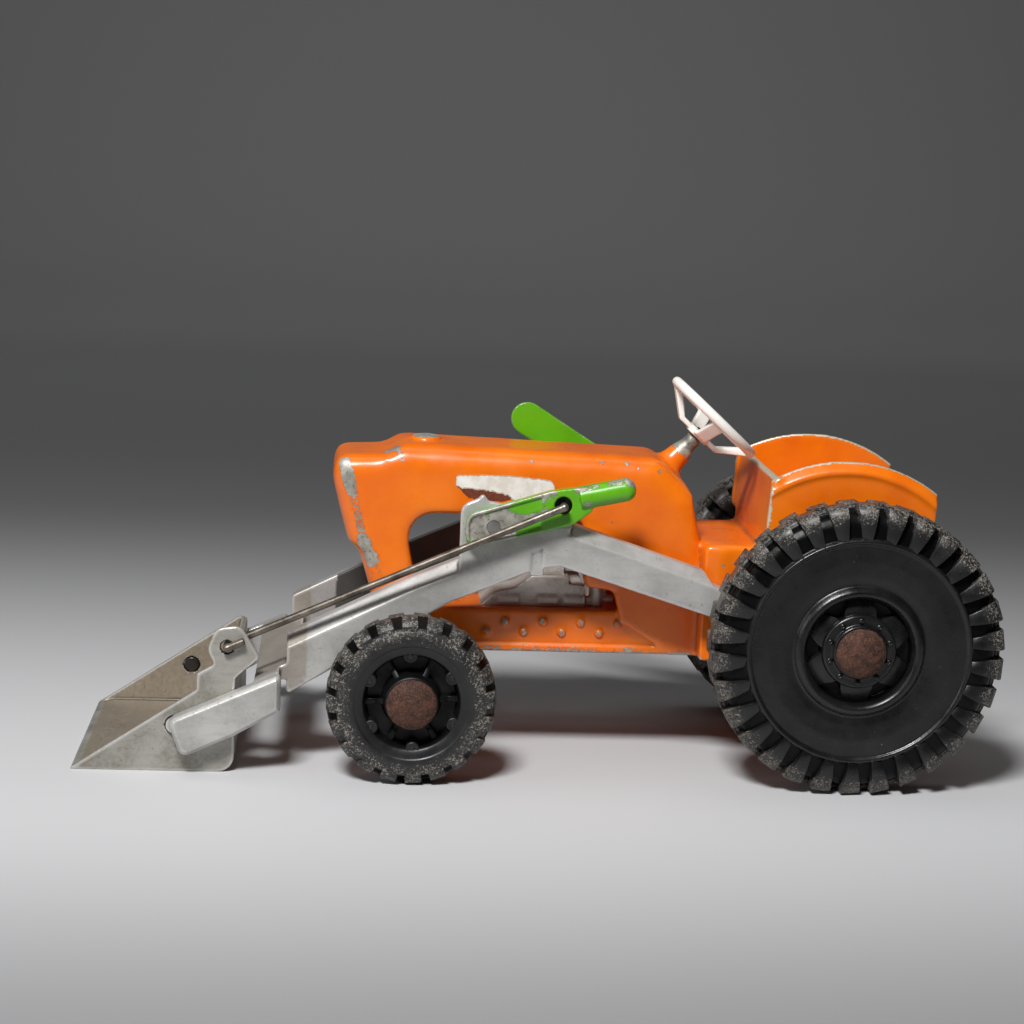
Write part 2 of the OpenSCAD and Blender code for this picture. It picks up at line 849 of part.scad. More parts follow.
lever_pin_r = 2;
lever_hole_r = 2.75;

// Tilt lever: a flanged plate on the left arm with a round handle
tilt_lever_outline = [
    [-124.7, 84.7, 4],
    [-98.2, 93, 4],
    [-86.5, 94.8, 1],
    [-84.5, 87.3, 2],
    [-91, 82.4, 4],
    [-108, 78.1, 8],
    [-121.5, 74.5, 3],
    [-124.7, 76.6, 2]
];

module tilt_lever() {
    rim = 1.1;
    recess = 0.7;
    handle_r = 3.75;
    handle_y = -(lever_in + tilt_lever_out) / 2;
    handle_from = [-89, handle_y, 90.8];
    handle_to = [-74.4, handle_y, 94];
    color("limegreen") difference() {
        union() {
            difference() {
                side(tilt_lever_outline, -tilt_lever_out, -lever_in);
                intersection() {
                    side(inset(tilt_lever_outline, rim), -tilt_lever_out - 1, -tilt_lever_out + recess);
                    translate([-130, -60, 60]) cube([29, 40, 50]);
                }
            }
            round_ended_bar(handle_from, handle_to, handle_r);
        }
        // The handle is cut flat where it would meet the arm's lug
        translate([-92, -lever_in, 80]) cube([8, 6, 20]);
        cross_rod(rod_hole, lever_hole_r, -tilt_lever_out - 3, -lever_in + 3);
        cross_rod(lever_pivot, lever_pin_r + play, -tilt_lever_out - 1, -lever_in + 1);
    }
}

// Pin that the tilt lever turns on, pressed into the arm's lug
module tilt_lever_pin() {
    color("gray") cross_rod(lever_pivot, lever_pin_r, -tilt_lever_out + 0.1, -arm_out + 2.4);
}

// Lift lever: a stamped strip riveted to the side of the right arm
lift_tip = [-100.7, 106.1];
lift_knee = [-50, 74.8];
lift_foot = [-46.5, 58.5];
lift_w = 11.3;
lift_rivet = [-44, 58];
lift_rivet_r = 1.5;
lift_rivet_in = arm_out - 4;

// Flat strap with round ends
module strap(from, to) {
    d = to - from;
    translate([from.x, from.y]) rotate(atan2(d.y, d.x)) {
        translate([0, -lift_w / 2]) square([norm(d), lift_w]);
        circle(d = lift_w);
        translate([norm(d), 0]) circle(d = lift_w);
    }
}

module lift_lever() {
    color("limegreen") difference() {
        translate([0, lever_in + lift_lever_t, 0]) rotate([90, 0, 0]) linear_extrude(lift_lever_t) {
            strap(lift_tip, lift_knee);
            strap(lift_knee, lift_foot);
        }
        cross_rod(lift_rivet, lift_rivet_r, lever_in - 1, lever_in + 4);
    }
}

// Rivet that fixes the lift lever to the right arm
module lift_lever_rivet() {
    head_r = 2.6;
    head_h = 0.9;
    outer = lever_in + lift_lever_t;
    color("gray") {
        cross_rod(lift_rivet, lift_rivet_r, lift_rivet_in, outer + 0.1);
        cross_rod(lift_rivet, head_r, outer, outer + head_h);
    }
}

rear_at = [0, rear_r];
front_at = [-wheelbase, front_r];

translate([centre_shift, 0, 0]) {
    body_casting();
    hood_label();
    engine_block();
    engine_rivet();
    steering_wheel();
    axle(rear_at, rear_axle_r, rear_wheel_face + cap_gap + cap_depth);  // rear_axle
    axle_cap(rear_at, -1, rear_wheel_face, rear_axle_r);  // rear_axle_cap_left
    axle_cap(rear_at, 1, rear_wheel_face, rear_axle_r);  // rear_axle_cap_right
    axle(front_at, front_axle_r, front_wheel_face + cap_gap + cap_depth);  // front_axle
    axle_cap(front_at, -1, front_wheel_face, front_axle_r);  // front_axle_cap_left
    axle_cap(front_at, 1, front_wheel_face, front_axle_r);  // front_axle_cap_right
    mounted(rear_at, -1, rear_track) rear_wheel();  // rear_wheel_left
    mounted(rear_at, 1, rear_track) rear_wheel();  // rear_wheel_right
    mounted(front_at, -1, front_track) front_wheel();  // front_wheel_left
    mounted(front_at, 1, front_track) front_wheel();  // front_wheel_right
    loader_frame();
    bucket();
    tilt_rod();
    tilt_lever();
    tilt_lever_pin();
    lift_lever();
    lift_lever_rivet();
}
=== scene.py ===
"""Looks of the toy front loader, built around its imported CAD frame.

Metres, in the frame's own axes: -X is the bucket end, -Y the toy's left side, which the
camera sees, and +Z is up. Sizes written in mm are turned into metres by MM.
"""
import json
import math
import random

import bmesh
import bpy
import numpy as np
from mathutils import Matrix, Vector, noise


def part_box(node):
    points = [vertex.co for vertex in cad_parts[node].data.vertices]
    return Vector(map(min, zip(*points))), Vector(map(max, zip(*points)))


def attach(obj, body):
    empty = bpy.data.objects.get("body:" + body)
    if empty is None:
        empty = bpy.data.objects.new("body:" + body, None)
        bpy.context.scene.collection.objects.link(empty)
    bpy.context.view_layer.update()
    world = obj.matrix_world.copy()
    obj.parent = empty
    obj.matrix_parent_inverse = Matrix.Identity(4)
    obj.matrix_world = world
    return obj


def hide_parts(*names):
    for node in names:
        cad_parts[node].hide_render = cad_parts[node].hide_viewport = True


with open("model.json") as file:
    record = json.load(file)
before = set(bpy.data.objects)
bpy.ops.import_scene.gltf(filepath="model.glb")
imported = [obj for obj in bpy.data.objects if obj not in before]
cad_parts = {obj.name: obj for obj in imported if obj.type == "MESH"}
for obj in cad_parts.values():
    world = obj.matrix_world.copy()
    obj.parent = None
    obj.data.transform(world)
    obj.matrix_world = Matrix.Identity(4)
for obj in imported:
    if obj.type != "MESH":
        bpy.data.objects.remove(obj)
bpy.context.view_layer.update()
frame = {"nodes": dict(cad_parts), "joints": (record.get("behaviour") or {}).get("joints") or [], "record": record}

MM = 0.001
# Radius in mm that stands for the axis in a turned profile
AXIS = 0.02
NODES = frame["nodes"]
BODY_OF = {}
for body_name, members in frame["record"]["behaviour"]["bodies"].items():
    for member in members:
        BODY_OF[member] = body_name
JOINTS = {joint["name"]: joint for joint in frame["joints"]}

REAR_AXLE = Vector(JOINTS["loader_lift"]["pos_m"])
FRONT_AXLE = Vector(JOINTS["front_axle_turn"]["pos_m"])
COARSER = 1.0
REAR_STEPS = 180
FRONT_STEPS = 160


# ---------------------------------------------------------------- mesh helpers

def add_object(name, mesh):
    obj = bpy.data.objects.new(name, mesh)
    bpy.context.scene.collection.objects.link(obj)
    return obj


def smooth_shade(mesh, angle=None):
    mesh.polygons.foreach_set("use_smooth", [True] * len(mesh.polygons))
    if angle is not None:
        mesh.set_sharp_from_angle(angle=math.radians(angle))


def mesh_from(name, verts, faces):
    mesh = bpy.data.meshes.new(name)
    mesh.from_pydata([tuple(v) for v in verts], [], faces)
    mesh.validate()
    return mesh


def coords(mesh):
    co = np.empty(len(mesh.vertices) * 3)
    mesh.vertices.foreach_get("co", co)
    return co.reshape(-1, 3)


def set_coords(mesh, co):
    mesh.vertices.foreach_set("co", co.ravel())
    mesh.update()


def normals(mesh):
    no = np.empty(len(mesh.vertices) * 3)
    mesh.vertex_normals.foreach_get("vector", no)
    return no.reshape(-1, 3)


def set_value(mesh, name, values):
    layer = mesh.attributes.new(name, "FLOAT", "POINT")
    layer.data.foreach_set("value", np.asarray(values, np.float32))


def edge_ends(mesh):
    ends = np.empty(len(mesh.edges) * 2, np.int64)
    mesh.edges.foreach_get("vertices", ends)
    return ends.reshape(-1, 2)


def relax(co, ends, rounds, share=0.5):
    """Moves every point towards the middle of its neighbours, a number of times."""
    count = len(co)
    degree = np.bincount(ends.ravel(), minlength=count)
    degree[degree == 0] = 1
    co = co.copy()
    for _ in range(rounds):
        for axis in range(3):
            total = np.bincount(ends[:, 0], co[ends[:, 1], axis], count)
            total += np.bincount(ends[:, 1], co[ends[:, 0], axis], count)
            co[:, axis] += share * (total / degree - co[:, axis])
    return co


def mark_convexity(mesh, rounds=14):
    """Stores how far each point stands proud of the smoothed surface, in mm."""
    co = coords(mesh)
    proud = ((co - relax(co, edge_ends(mesh), rounds)) * normals(mesh)).sum(1) / MM
    set_value(mesh, "convex", proud)


def apply_modifiers(obj):
    graph = bpy.context.evaluated_depsgraph_get()
    mesh = bpy.data.meshes.new_from_object(obj.evaluated_get(graph))
    obj.modifiers.clear()
    obj.data = mesh
    return mesh


def cast_copy(node, voxel_mm, rounds, keep, wobble_mm=0.0, soft=None):
    """A copy of a CAD node with the soft edges of a casting, for the node it replaces.

    soft, if given, is (extra rounds, function of the points that says how much to soften them).
    """
    mesh = NODES[node].data.copy()
    mesh.materials.clear()
    obj = add_object(node + "_cast", mesh)
    remesh = obj.modifiers.new("Remesh", "REMESH")
    remesh.mode = "VOXEL"
    remesh.voxel_size = voxel_mm * MM * COARSER
    mesh = apply_modifiers(obj)
    set_coords(mesh, relax(coords(mesh), edge_ends(mesh), rounds))
    if soft:
        co = coords(mesh)
        set_coords(mesh, relax(co, edge_ends(mesh), soft[0], 0.5 * soft[1](co)))
    if keep < 1:
        decimate = obj.modifiers.new("Decimate", "DECIMATE")
        decimate.ratio = keep
        mesh = apply_modifiers(obj)
    if wobble_mm:
        wobble(mesh, depth_mm=wobble_mm, size_mm=9.0)
    mark_convexity(mesh)
    smooth_shade(mesh)
    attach(obj, BODY_OF[node])
    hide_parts(node)
    return obj


def wobble(mesh, depth_mm, size_mm, seed=0):
    """Moves the surface in and out a little, as a hand-finished casting does."""
    co = coords(mesh)
    no = normals(mesh)
    shift = Vector((seed * 3.1, seed * 1.7, seed * 5.3))
    depth = np.array([noise.noise(Vector(p) / (size_mm * MM) + shift) for p in co])
    set_coords(mesh, co + no * (depth * depth_mm * MM)[:, None])


def lathe(profile, steps):
    """Turns a closed (radius, height) profile in mm about +Z. Returns verts and faces."""
    verts = []
    faces = []
    count = len(profile)
    for step in range(steps):
        a = 2 * math.pi * step / steps
        for radius, height in profile:
            verts.append(Vector((radius * math.cos(a), radius * math.sin(a), height)) * MM)
    for step in range(steps):
        here = step * count
        there = (step + 1) % steps * count
        for i in range(count):
            j = (i + 1) % count
            faces.append((here + i, there + i, there + j, here + j))
    return verts, faces


def rounded_profile(points, radius, parts=4):
    """Rounds every corner of a closed (radius, height) outline by up to a radius."""
    result = []
    count = len(points)
    for i in range(count):
        p = Vector(points[i])
        before = Vector(points[i - 1]) - p
        after = Vector(points[(i + 1) % count]) - p
        cut = min(radius, before.length * 0.45, after.length * 0.45)
        start = p + before.normalized() * cut
        end = p + after.normalized() * cut
        for k in range(parts + 1):
            t = k / parts
            result.append(tuple(start * (1 - t) ** 2 + p * 2 * t * (1 - t) + end * t ** 2))
    return result


def block(sections):
    """A closed block through a list of sections, each a list of points in mm, same count."""
    verts = [Vector(p) * MM for section in sections for p in section]
    n = len(sections[0])
    faces = [tuple(reversed(range(n)))]
    last = (len(sections) - 1) * n
    faces.append(tuple(last + i for i in range(n)))
    for s in range(len(sections) - 1):
        for i in range(n):
            j = (i + 1) % n
            faces.append((s * n + i, s * n + j, s * n + n + j, s * n + n + i))
    return verts, faces


def bevelled(name, verts, faces, width_mm, parts=2, angle=25):
    """Builds a mesh and rounds its sharp edges."""
    mesh = mesh_from(name, verts, faces)
    bm = bmesh.new()
    bm.from_mesh(mesh)
    bmesh.ops.recalc_face_normals(bm, faces=bm.faces)
    sharp = [e for e in bm.edges if len(e.link_faces) == 2
             and e.calc_face_angle(0) > math.radians(angle)]
    bmesh.ops.bevel(bm, geom=sharp, offset=width_mm * MM, segments=parts,
                    profile=0.5, affect="EDGES", clamp_overlap=True)
    bm.to_mesh(mesh)
    bm.free()
    return mesh


def joined(name, parts):
    """One mesh from (mesh, matrix, lit share) parts; a share below 1 paints the part darker as shade, 0
    near-black.
    """
    bm = bmesh.new()
    marks = []
    for mesh, matrix, raised in parts:
        copy = mesh.copy()
        copy.transform(matrix)
        bm.from_mesh(copy)
        marks.append(np.broadcast_to(raised, len(copy.vertices)))
        bpy.data.meshes.remove(copy)
    bmesh.ops.recalc_face_normals(bm, faces=bm.faces)
    mesh = bpy.data.meshes.new(name)
    bm.to_mesh(mesh)
    bm.free()
    set_value(mesh, "raised", np.concatenate(marks))
    return mesh


# ------------------------------------------------------------ material helpers

class Look:
    """A node material: a principled shader and short calls that feed it."""

    def __init__(self, name):
        self.material = bpy.data.materials.new(name)
        self.material.use_nodes = True
        self.tree = self.material.node_tree
        self.tree.nodes.clear()
        out = self.tree.nodes.new("ShaderNodeOutputMaterial")
        self.shader = self.tree.nodes.new("ShaderNodeBsdfPrincipled")
        self.tree.links.new(self.shader.outputs[0], out.inputs[0])
        place = self.tree.nodes.new("ShaderNodeTexCoord")
        self.place = place.outputs["Object"]

    def feed(self, socket, value):
        if isinstance(value, bpy.types.NodeSocket):
            self.tree.links.new(value, socket)
        else:
            socket.default_value = value

    def set(self, **values):
        for name, value in values.items():
            self.feed(self.shader.inputs[name.replace("_", " ")], value)

    def noise(self, size_mm, detail=3.0, rough=0.5, warp=0.0, stretch=(1, 1, 1)):
        spot = self.tree.nodes.new("ShaderNodeMapping")
        self.feed(spot.inputs["Vector"], self.place)
        spot.inputs["Scale"].default_value = [s / (size_mm * MM) for s in stretch]
        node = self.tree.nodes.new("ShaderNodeTexNoise")
        self.feed(node.inputs["Vector"], spot.outputs[0])
        node.inputs["Scale"].default_value = 1.0
        node.inputs["Detail"].default_value = detail
        node.inputs["Roughness"].default_value = rough
        node.inputs["Distortion"].default_value = warp
        return node.outputs["Fac"]

    def value(self, name):
        node = self.tree.nodes.new("ShaderNodeAttribute")
        node.attribute_name = name
        return node.outputs["Fac"]

    def math(self, kind, a, b=0.0):
        node = self.tree.nodes.new("ShaderNodeMath")
        node.operation = kind
        self.feed(node.inputs[0], a)
        self.feed(node.inputs[1], b)
        return node.outputs[0]

    def add(self, *terms):
        total = terms[0]
        for term in terms[1:]:
            total = self.math("ADD", total, term)
        return total

    def times(self, a, b):
        return self.math("MULTIPLY", a, b)

    def ramp(self, value, low, high, to_low=0.0, to_high=1.0):
        node = self.tree.nodes.new("ShaderNodeMapRange")
        node.interpolation_type = "SMOOTHSTEP"
        self.feed(node.inputs["Value"], value)
        node.inputs["From Min"].default_value = low
        node.inputs["From Max"].default_value = high
        node.inputs["To Min"].default_value = to_low
        node.inputs["To Max"].default_value = to_high
        return node.outputs["Result"]

    def mix(self, factor, a, b):
        node = self.tree.nodes.new("ShaderNodeMix")
        node.data_type = "RGBA"
        self.feed(node.inputs["Factor"], factor)
        self.feed(node.inputs[6], (*a, 1.0) if isinstance(a, tuple) else a)
        self.feed(node.inputs[7], (*b, 1.0) if isinstance(b, tuple) else b)
        return node.outputs[2]

    def blend(self, factor, a, b):
        node = self.tree.nodes.new("ShaderNodeMix")
        self.feed(node.inputs["Factor"], factor)
        self.feed(node.inputs[2], a)
        self.feed(node.inputs[3], b)
        return node.outputs[0]

    def bump(self, *layers):
        """Each layer is (height, depth in mm); layers are stacked."""
        normal = None
        for height, depth_mm in layers:
            node = self.tree.nodes.new("ShaderNodeBump")
            node.inputs["Distance"].default_value = depth_mm * MM
            self.feed(node.inputs["Height"], height)
            if normal is not None:
                self.feed(node.inputs["Normal"], normal)
            normal = node.outputs[0]
        self.set(Normal=normal)


def painted(name, light, dark, edge_gain):
    """Enamel over die-cast metal, chipped where the surface stands proud."""
    look = Look(name)
    proud = look.value("convex")
    zone = look.value("zone")
    fine = look.noise(1.1, 5, 0.68, 0.4)
    broad = look.noise(9, 3, 0.55)
    wear = look.add(look.times(proud, edge_gain), zone,
                    look.times(look.math("SUBTRACT", fine, 0.5), 2.2),
                    look.math("SUBTRACT", broad, 0.5))
    chip = look.ramp(wear, 0.48, 0.52)
    halo = look.ramp(wear, 0.34, 0.50)
    tone = look.noise(22, 3, 0.6)
    paint = look.mix(look.ramp(tone, 0.3, 0.7), dark, light)
    # Darker in hollows, where the surface sinks below its smoothed shape
    hollow_darkening = look.ramp(look.math("ADD", look.times(proud, -3.0), look.times(fine, 0.3)), 0.30, 1.0)
    paint = look.mix(look.times(hollow_darkening, 0.6), paint, tuple(c * 0.25 for c in dark))
    paint = look.mix(look.times(halo, 0.4), paint, tuple(c * 0.4 for c in dark))
    speck = look.ramp(look.noise(0.8, 2, 0.5), 0.71, 0.76)
    paint = look.mix(look.times(speck, 0.3), paint, tuple(c * 0.4 for c in dark))
    metal_tone = look.noise(3.0, 4, 0.6)
    metal = look.mix(look.ramp(metal_tone, 0.3, 0.7), (0.31, 0.295, 0.25), (0.50, 0.485, 0.43))
    metal = look.mix(look.times(look.ramp(fine, 0.46, 0.36), 0.7), metal, (0.12, 0.105, 0.085))
    # Bare metal round the seat is lighter: worn polish, with a painted highlight on top
    metal = look.mix(look.times(look.value("polish_and_highlight"), 0.8), metal, (0.72, 0.62, 0.46))
    # Near-black where marked: the column's dark bare metal, and painted shade in holes and on shaded faces
    dark_metal_and_shade = look.value("dark_metal_and_shade")
    look.set(Base_Color=look.mix(dark_metal_and_shade, look.mix(chip, paint, metal), (0.006, 0.005, 0.004)),
             Metallic=look.times(chip, 0.5),
             Roughness=look.blend(chip, look.ramp(broad, 0.3, 0.7, 0.26, 0.40), 0.5),
             Coat_Weight=look.blend(chip, look.ramp(dark_metal_and_shade, 0.0, 1.0, 0.35, 0.0), 0.0),
             Coat_Roughness=0.16)
    look.bump((look.math("SUBTRACT", 1.0, chip), 0.12),
              (look.noise(3.2, 2, 0.4), 0.045),
              (look.noise(0.35, 2, 0.5), 0.004))
    return look.material


def bare_casting(name, light, dark, stain, rough=0.42, stained=0.5):
    """Unpainted die-cast metal: mottled, pitted, polished on its edges, which are lightened further as a painted
    highlight.
    """
    look = Look(name)
    proud = look.value("convex")
    tan = look.value("zone")
    broad = look.noise(18, 4, 0.6)
    fine = look.noise(1.3, 5, 0.7)
    scratch = look.noise(2.2, 4, 0.7, 0.0, (0.16, 1.0, 1.0))
    pits = look.ramp(look.noise(1.0, 3, 0.7, 0.6), 0.64, 0.70)
    patch = look.ramp(look.add(look.times(fine, 0.6), look.times(broad, 0.7)), 0.60, 0.84)
    tone = look.mix(look.ramp(broad, 0.32, 0.68), light, dark)
    tone = look.mix(look.times(look.ramp(scratch, 0.45, 0.7), 0.25), tone, tuple(c * 0.7 for c in dark))
    tone = look.mix(look.times(patch, stained), tone, stain)
    rusty_tan = look.mix(look.ramp(fine, 0.3, 0.7), (0.235, 0.185, 0.13), (0.34, 0.285, 0.215))
    tone = look.mix(tan, tone, rusty_tan)
    # Lighter on convex edges: worn polish, and a painted highlight along them
    edge = look.ramp(look.math("ADD", proud, look.times(fine, 0.16)), 0.14, 0.26)
    tone = look.mix(look.times(edge, 0.45), tone, (0.70, 0.68, 0.65))
    hollow = look.ramp(look.times(proud, -1.0), 0.03, 0.20)
    tone = look.mix(look.times(hollow, 0.8), tone, tuple(c * 0.3 for c in stain))
    tone = look.mix(look.times(pits, 0.55), tone, (0.11, 0.10, 0.085))
    # Near-black where marked: painted shade in holes and on the far arm's shaded inner face
    dark_metal_and_shade = look.value("dark_metal_and_shade")
    look.set(Base_Color=look.mix(dark_metal_and_shade, tone, (0.012, 0.010, 0.008)),
             Metallic=look.ramp(dark_metal_and_shade, 0.0, 1.0, 0.45, 0.0),
             Roughness=look.blend(edge, look.ramp(fine, 0.3, 0.7, rough, rough + 0.14), rough - 0.10))
    look.bump((look.math("SUBTRACT", 1.0, pits), 0.05),
              (look.noise(0.5, 3, 0.6), 0.018),
              (scratch, 0.02),
              (look.noise(5, 2, 0.5), 0.07))
    return look.material


def rubber(name, dust_from, dust_gain, shine, speck_mm):
    """Black moulded rubber with pale dust caught in its tread, and painted shade that turns recessed parts
    near-black.
    """
    look = Look(name)
    out = look.value("outer")
    raised = look.value("raised")
    speck = look.noise(speck_mm, 2, 0.7, 1.0)
    broad = look.noise(4, 3, 0.6)
    far_out = look.times(look.ramp(out, dust_from, dust_from + 6.0), raised)
    dust = look.add(speck, look.times(look.math("SUBTRACT", broad, 0.5), 0.25),
                    look.times(far_out, dust_gain))
    grain = look.times(look.ramp(dust, 0.74, 0.78), raised)
    film = look.times(far_out, look.ramp(broad, 0.25, 0.75, 0.25, 0.60))
    cloud = look.ramp(look.noise(12, 3, 0.6), 0.35, 0.65)
    black = look.mix(cloud, (0.0045, 0.0045, 0.005), (0.009, 0.009, 0.0095))
    tone = look.mix(film, black, (0.034, 0.032, 0.030))
    tone = look.mix(look.times(grain, 0.8), tone, (0.27, 0.245, 0.21))
    # Painted shade: parts marked with a low lit share are turned near-black
    tone = look.mix(raised, (0.0025, 0.0025, 0.0025), tone)
    rough = look.blend(film, look.ramp(broad, 0.3, 0.7, shine, shine + 0.12), 0.55)
    look.set(Base_Color=tone,
             Roughness=look.blend(grain, rough, 0.9),
             Specular_IOR_Level=look.ramp(raised, 0.0, 1.0, 0.15, 0.5))
    look.bump((look.noise(0.3, 3, 0.6), 0.018),
              (look.noise(1.6, 4, 0.6), 0.05))
    return look.material


def rusty(name):
    """Pressed steel under an even, grainy coat of rust."""
    look = Look(name)
    broad = look.noise(3.2, 4, 0.65)
    fine = look.noise(0.55, 6, 0.75)
    tone = look.mix(look.ramp(broad, 0.35, 0.65), (0.034, 0.013, 0.008), (0.085, 0.033, 0.020))
    tone = look.mix(look.times(look.ramp(fine, 0.50, 0.66), 0.8), tone, (0.17, 0.075, 0.035))
    tone = look.mix(look.times(look.ramp(fine, 0.44, 0.34), 0.7), tone, (0.014, 0.007, 0.005))
    look.set(Base_Color=tone, Metallic=0.15, Roughness=look.ramp(fine, 0.3, 0.7, 0.95, 0.62))
    look.bump((fine, 0.16), (look.noise(1.5, 3, 0.6), 0.22))
    return look.material


def old_steel(name, light, dark, rust):
    """Dull steel with specks of rust."""
    look = Look(name)
    broad = look.noise(7, 4, 0.6)
    fine = look.noise(0.8, 5, 0.7)
    tone = look.mix(look.ramp(broad, 0.3, 0.7), dark, light)
    tone = look.mix(look.times(look.ramp(fine, 0.55, 0.75), 0.6), tone, rust)
    look.set(Base_Color=tone, Metallic=0.85, Roughness=look.ramp(fine, 0.3, 0.7, 0.30, 0.55))
    look.bump((fine, 0.03), (look.noise(2.5, 2, 0.5), 0.03))
    return look.material


def white_plastic(name):
    """Moulded white plastic, yellowed, darker in its corners."""
    look = Look(name)
    broad = look.noise(8, 3, 0.6)
    fine = look.noise(1.0, 4, 0.6)
    tone = look.mix(look.ramp(broad, 0.3, 0.7), (0.86, 0.82, 0.76), (0.90, 0.87, 0.82))
    # Darker in hollows, where the surface sinks below its smoothed shape
    hollow_darkening = look.ramp(look.add(look.times(look.value("convex"), -3.0), look.times(fine, 0.4)), 0.30, 0.75)
    tone = look.mix(look.times(hollow_darkening, 0.35), tone, (0.42, 0.35, 0.26))
    look.set(Base_Color=tone, Roughness=look.ramp(fine, 0.3, 0.7, 0.30, 0.45),
             Subsurface_Weight=0.25, Subsurface_Radius=(1.0, 0.8, 0.6), Subsurface_Scale=1.2 * MM)
    look.bump((fine, 0.015), (broad, 0.04))
    return look.material


def old_paper(name):
    """Torn label: white paper above, brown-red print left below."""
    look = Look(name)
    fine = look.noise(0.9, 5, 0.7)
    broad = look.noise(5, 3, 0.6)
    jitter = look.times(look.math("SUBTRACT", fine, 0.5), 1.2)
    printed = look.ramp(look.math("ADD", look.value("print"), jitter), 0.40, 0.60)
    white = look.mix(look.ramp(broad, 0.35, 0.65), (0.70, 0.65, 0.57), (0.84, 0.81, 0.75))
    torn = look.ramp(look.math("ADD", look.value("torn"), jitter), 0.35, 0.95)
    white = look.mix(look.times(torn, 0.75), white, (0.30, 0.19, 0.10))
    fox = look.ramp(look.noise(1.1, 4, 0.7, 0.5), 0.64, 0.72)
    white = look.mix(look.times(fox, 0.7), white, (0.16, 0.11, 0.07))
    ink = look.mix(look.ramp(fine, 0.3, 0.7), (0.10, 0.016, 0.006), (0.20, 0.045, 0.012))
    look.set(Base_Color=look.mix(printed, white, ink), Roughness=0.75)
    look.bump((fine, 0.05), (broad, 0.10))
    return look.material


# ----------------------------------------------------------------- the castings

AXLE_X = REAR_AXLE.x / MM

# Centres of round features as x (from the rear axle) and z, in mm
BUCKET_PIVOT = (-215.0, 15.2)
ROD_PIVOT = (-198.8, 40.7)
LEVER_HOLE = (-94.2, 88.6)
# Faces of the loader as y, in mm
LEVER_FACE = -40.0
FAR_ARM_INNER = 27.6
BUCKET_INNER = 40.2
BRACKET_INNER = 42.2


def seen_from_axle(co):
    """Points in mm, with x measured from the rear axle."""
    return co / MM - np.array((AXLE_X, 0, 0))


def away_from(points, centre):
    """Distance of each point from an (x, z) centre, seen from the side."""
    return np.hypot(points[:, 0] - centre[0], points[:, 2] - centre[1])


def around(points, spots):
    """Extra wear round (x, y, z, reach, amount) spots."""
    zone = np.zeros(len(points))
    for x, y, z, reach, amount in spots:
        away = np.linalg.norm(points - np.array((x, y, z)), axis=1)
        zone += amount * np.clip(1.4 - 1.4 * away / reach, 0, 1)
    return zone


def along(points, start, end, reach, amount):
    """Extra wear along a line from start to end."""
    a = np.array(start, float)
    d = np.array(end, float) - a
    t = np.clip((points - a) @ d / (d @ d), 0, 1)
    away = np.linalg.norm(points - a - t[:, None] * d, axis=1)
    return amount * np.clip(1.5 - 1.5 * away / reach, 0, 1)


def finish_casting(obj, material, zone=None, dark_metal_and_shade=None, polish_and_highlight=None):
    """Stores the wear, dirt, polish, dark metal and painted shade of a piece and gives it its material."""
    mesh = obj.data
    if polish_and_highlight is not None:
        set_value(mesh, "polish_and_highlight", polish_and_highlight)
    if zone is not None:
        set_value(mesh, "zone", zone)
    if dark_metal_and_shade is not None:
        set_value(mesh, "dark_metal_and_shade", dark_metal_and_shade)
    mesh.materials.clear()
    mesh.materials.append(material)


# Centre x, z and radius of the fenders' outer edge
FENDER_ARC = (-2.2, 55.9, 48.8)
# The upright panel in front of the seat
PANEL_X = -26.1
PANEL_T = 2.4
PANEL_TOP = 98.4
PANEL_HALF = 31

# Wear that every painted point starts from: below zero, so that the paint holds
SOUND_PAINT = -0.62
# Worn lines as (start, end, reach, amount), in mm from the rear axle's foot
WORN_NOSE = (
    ((-163.5, -17.5, 97), (-162, -16.5, 90), 4.0, 1.25),
    ((-161.5, -18.5, 93), (-156.5, -18.5, 71), 3.2, 1.12),
    ((-156, -18.5, 71), (-153.5, -18.5, 66), 3.4, 0.85),
    ((-154.5, -18.5, 66), (-150, -18.5, 56), 5.0, 0.72),
    ((-140, -19, 73), (-138.5, -19, 60), 2.6, 0.95),
)
WORN_SEAT = (
    ((PANEL_X, -PANEL_HALF, PANEL_TOP), (PANEL_X, PANEL_HALF, PANEL_TOP), 1.2, 1.5),
    ((PANEL_X + PANEL_T, -PANEL_HALF, PANEL_TOP), (PANEL_X + PANEL_T, PANEL_HALF, PANEL_TOP), 1.2, 1.5),
    ((-28, 34.5, 80), (-26.5, 34.5, 96), 3.4, 1.0),
    ((-28, -34.5, 80), (-26.5, -34.5, 96), 1.8, 0.85),
)
WORN_COLUMN = (
    ((-50.5, 0, 103), (-45, 0, 109), 6.5, 2.0),
)
# Chips as (x, y, z, reach, amount), on the hood, the housing and the seat
CHIPS = (
    (-147.5, -14, 101.5, 4.6, 1.45), (-145.0, -16.5, 98.5, 3.4, 1.5), (-151, -12, 100.5, 3.4, 1.1),
    (-66, -19, 69, 3.0, 1.3), (-76, -19, 80, 1.5, 1.2), (-103, -17.6, 99.0, 1.9, 1.2),
    (-80, -17, 99.6, 2.4, 1.1), (-72, -16.6, 99.0, 1.8, 1.2), (-68, -17.5, 98.0, 1.6, 1.1),
    (-61, -17.5, 97.0, 2.0, 1.1), (-55, -17.5, 93.0, 1.6, 1.1), (-141, -19, 63, 2.8, 1.15),
    (-24, -34, 91, 2.2, 0.8), (20, -34, 91, 2.2, 1.0), (-40, -26, 68, 2.0, 0.9),
)


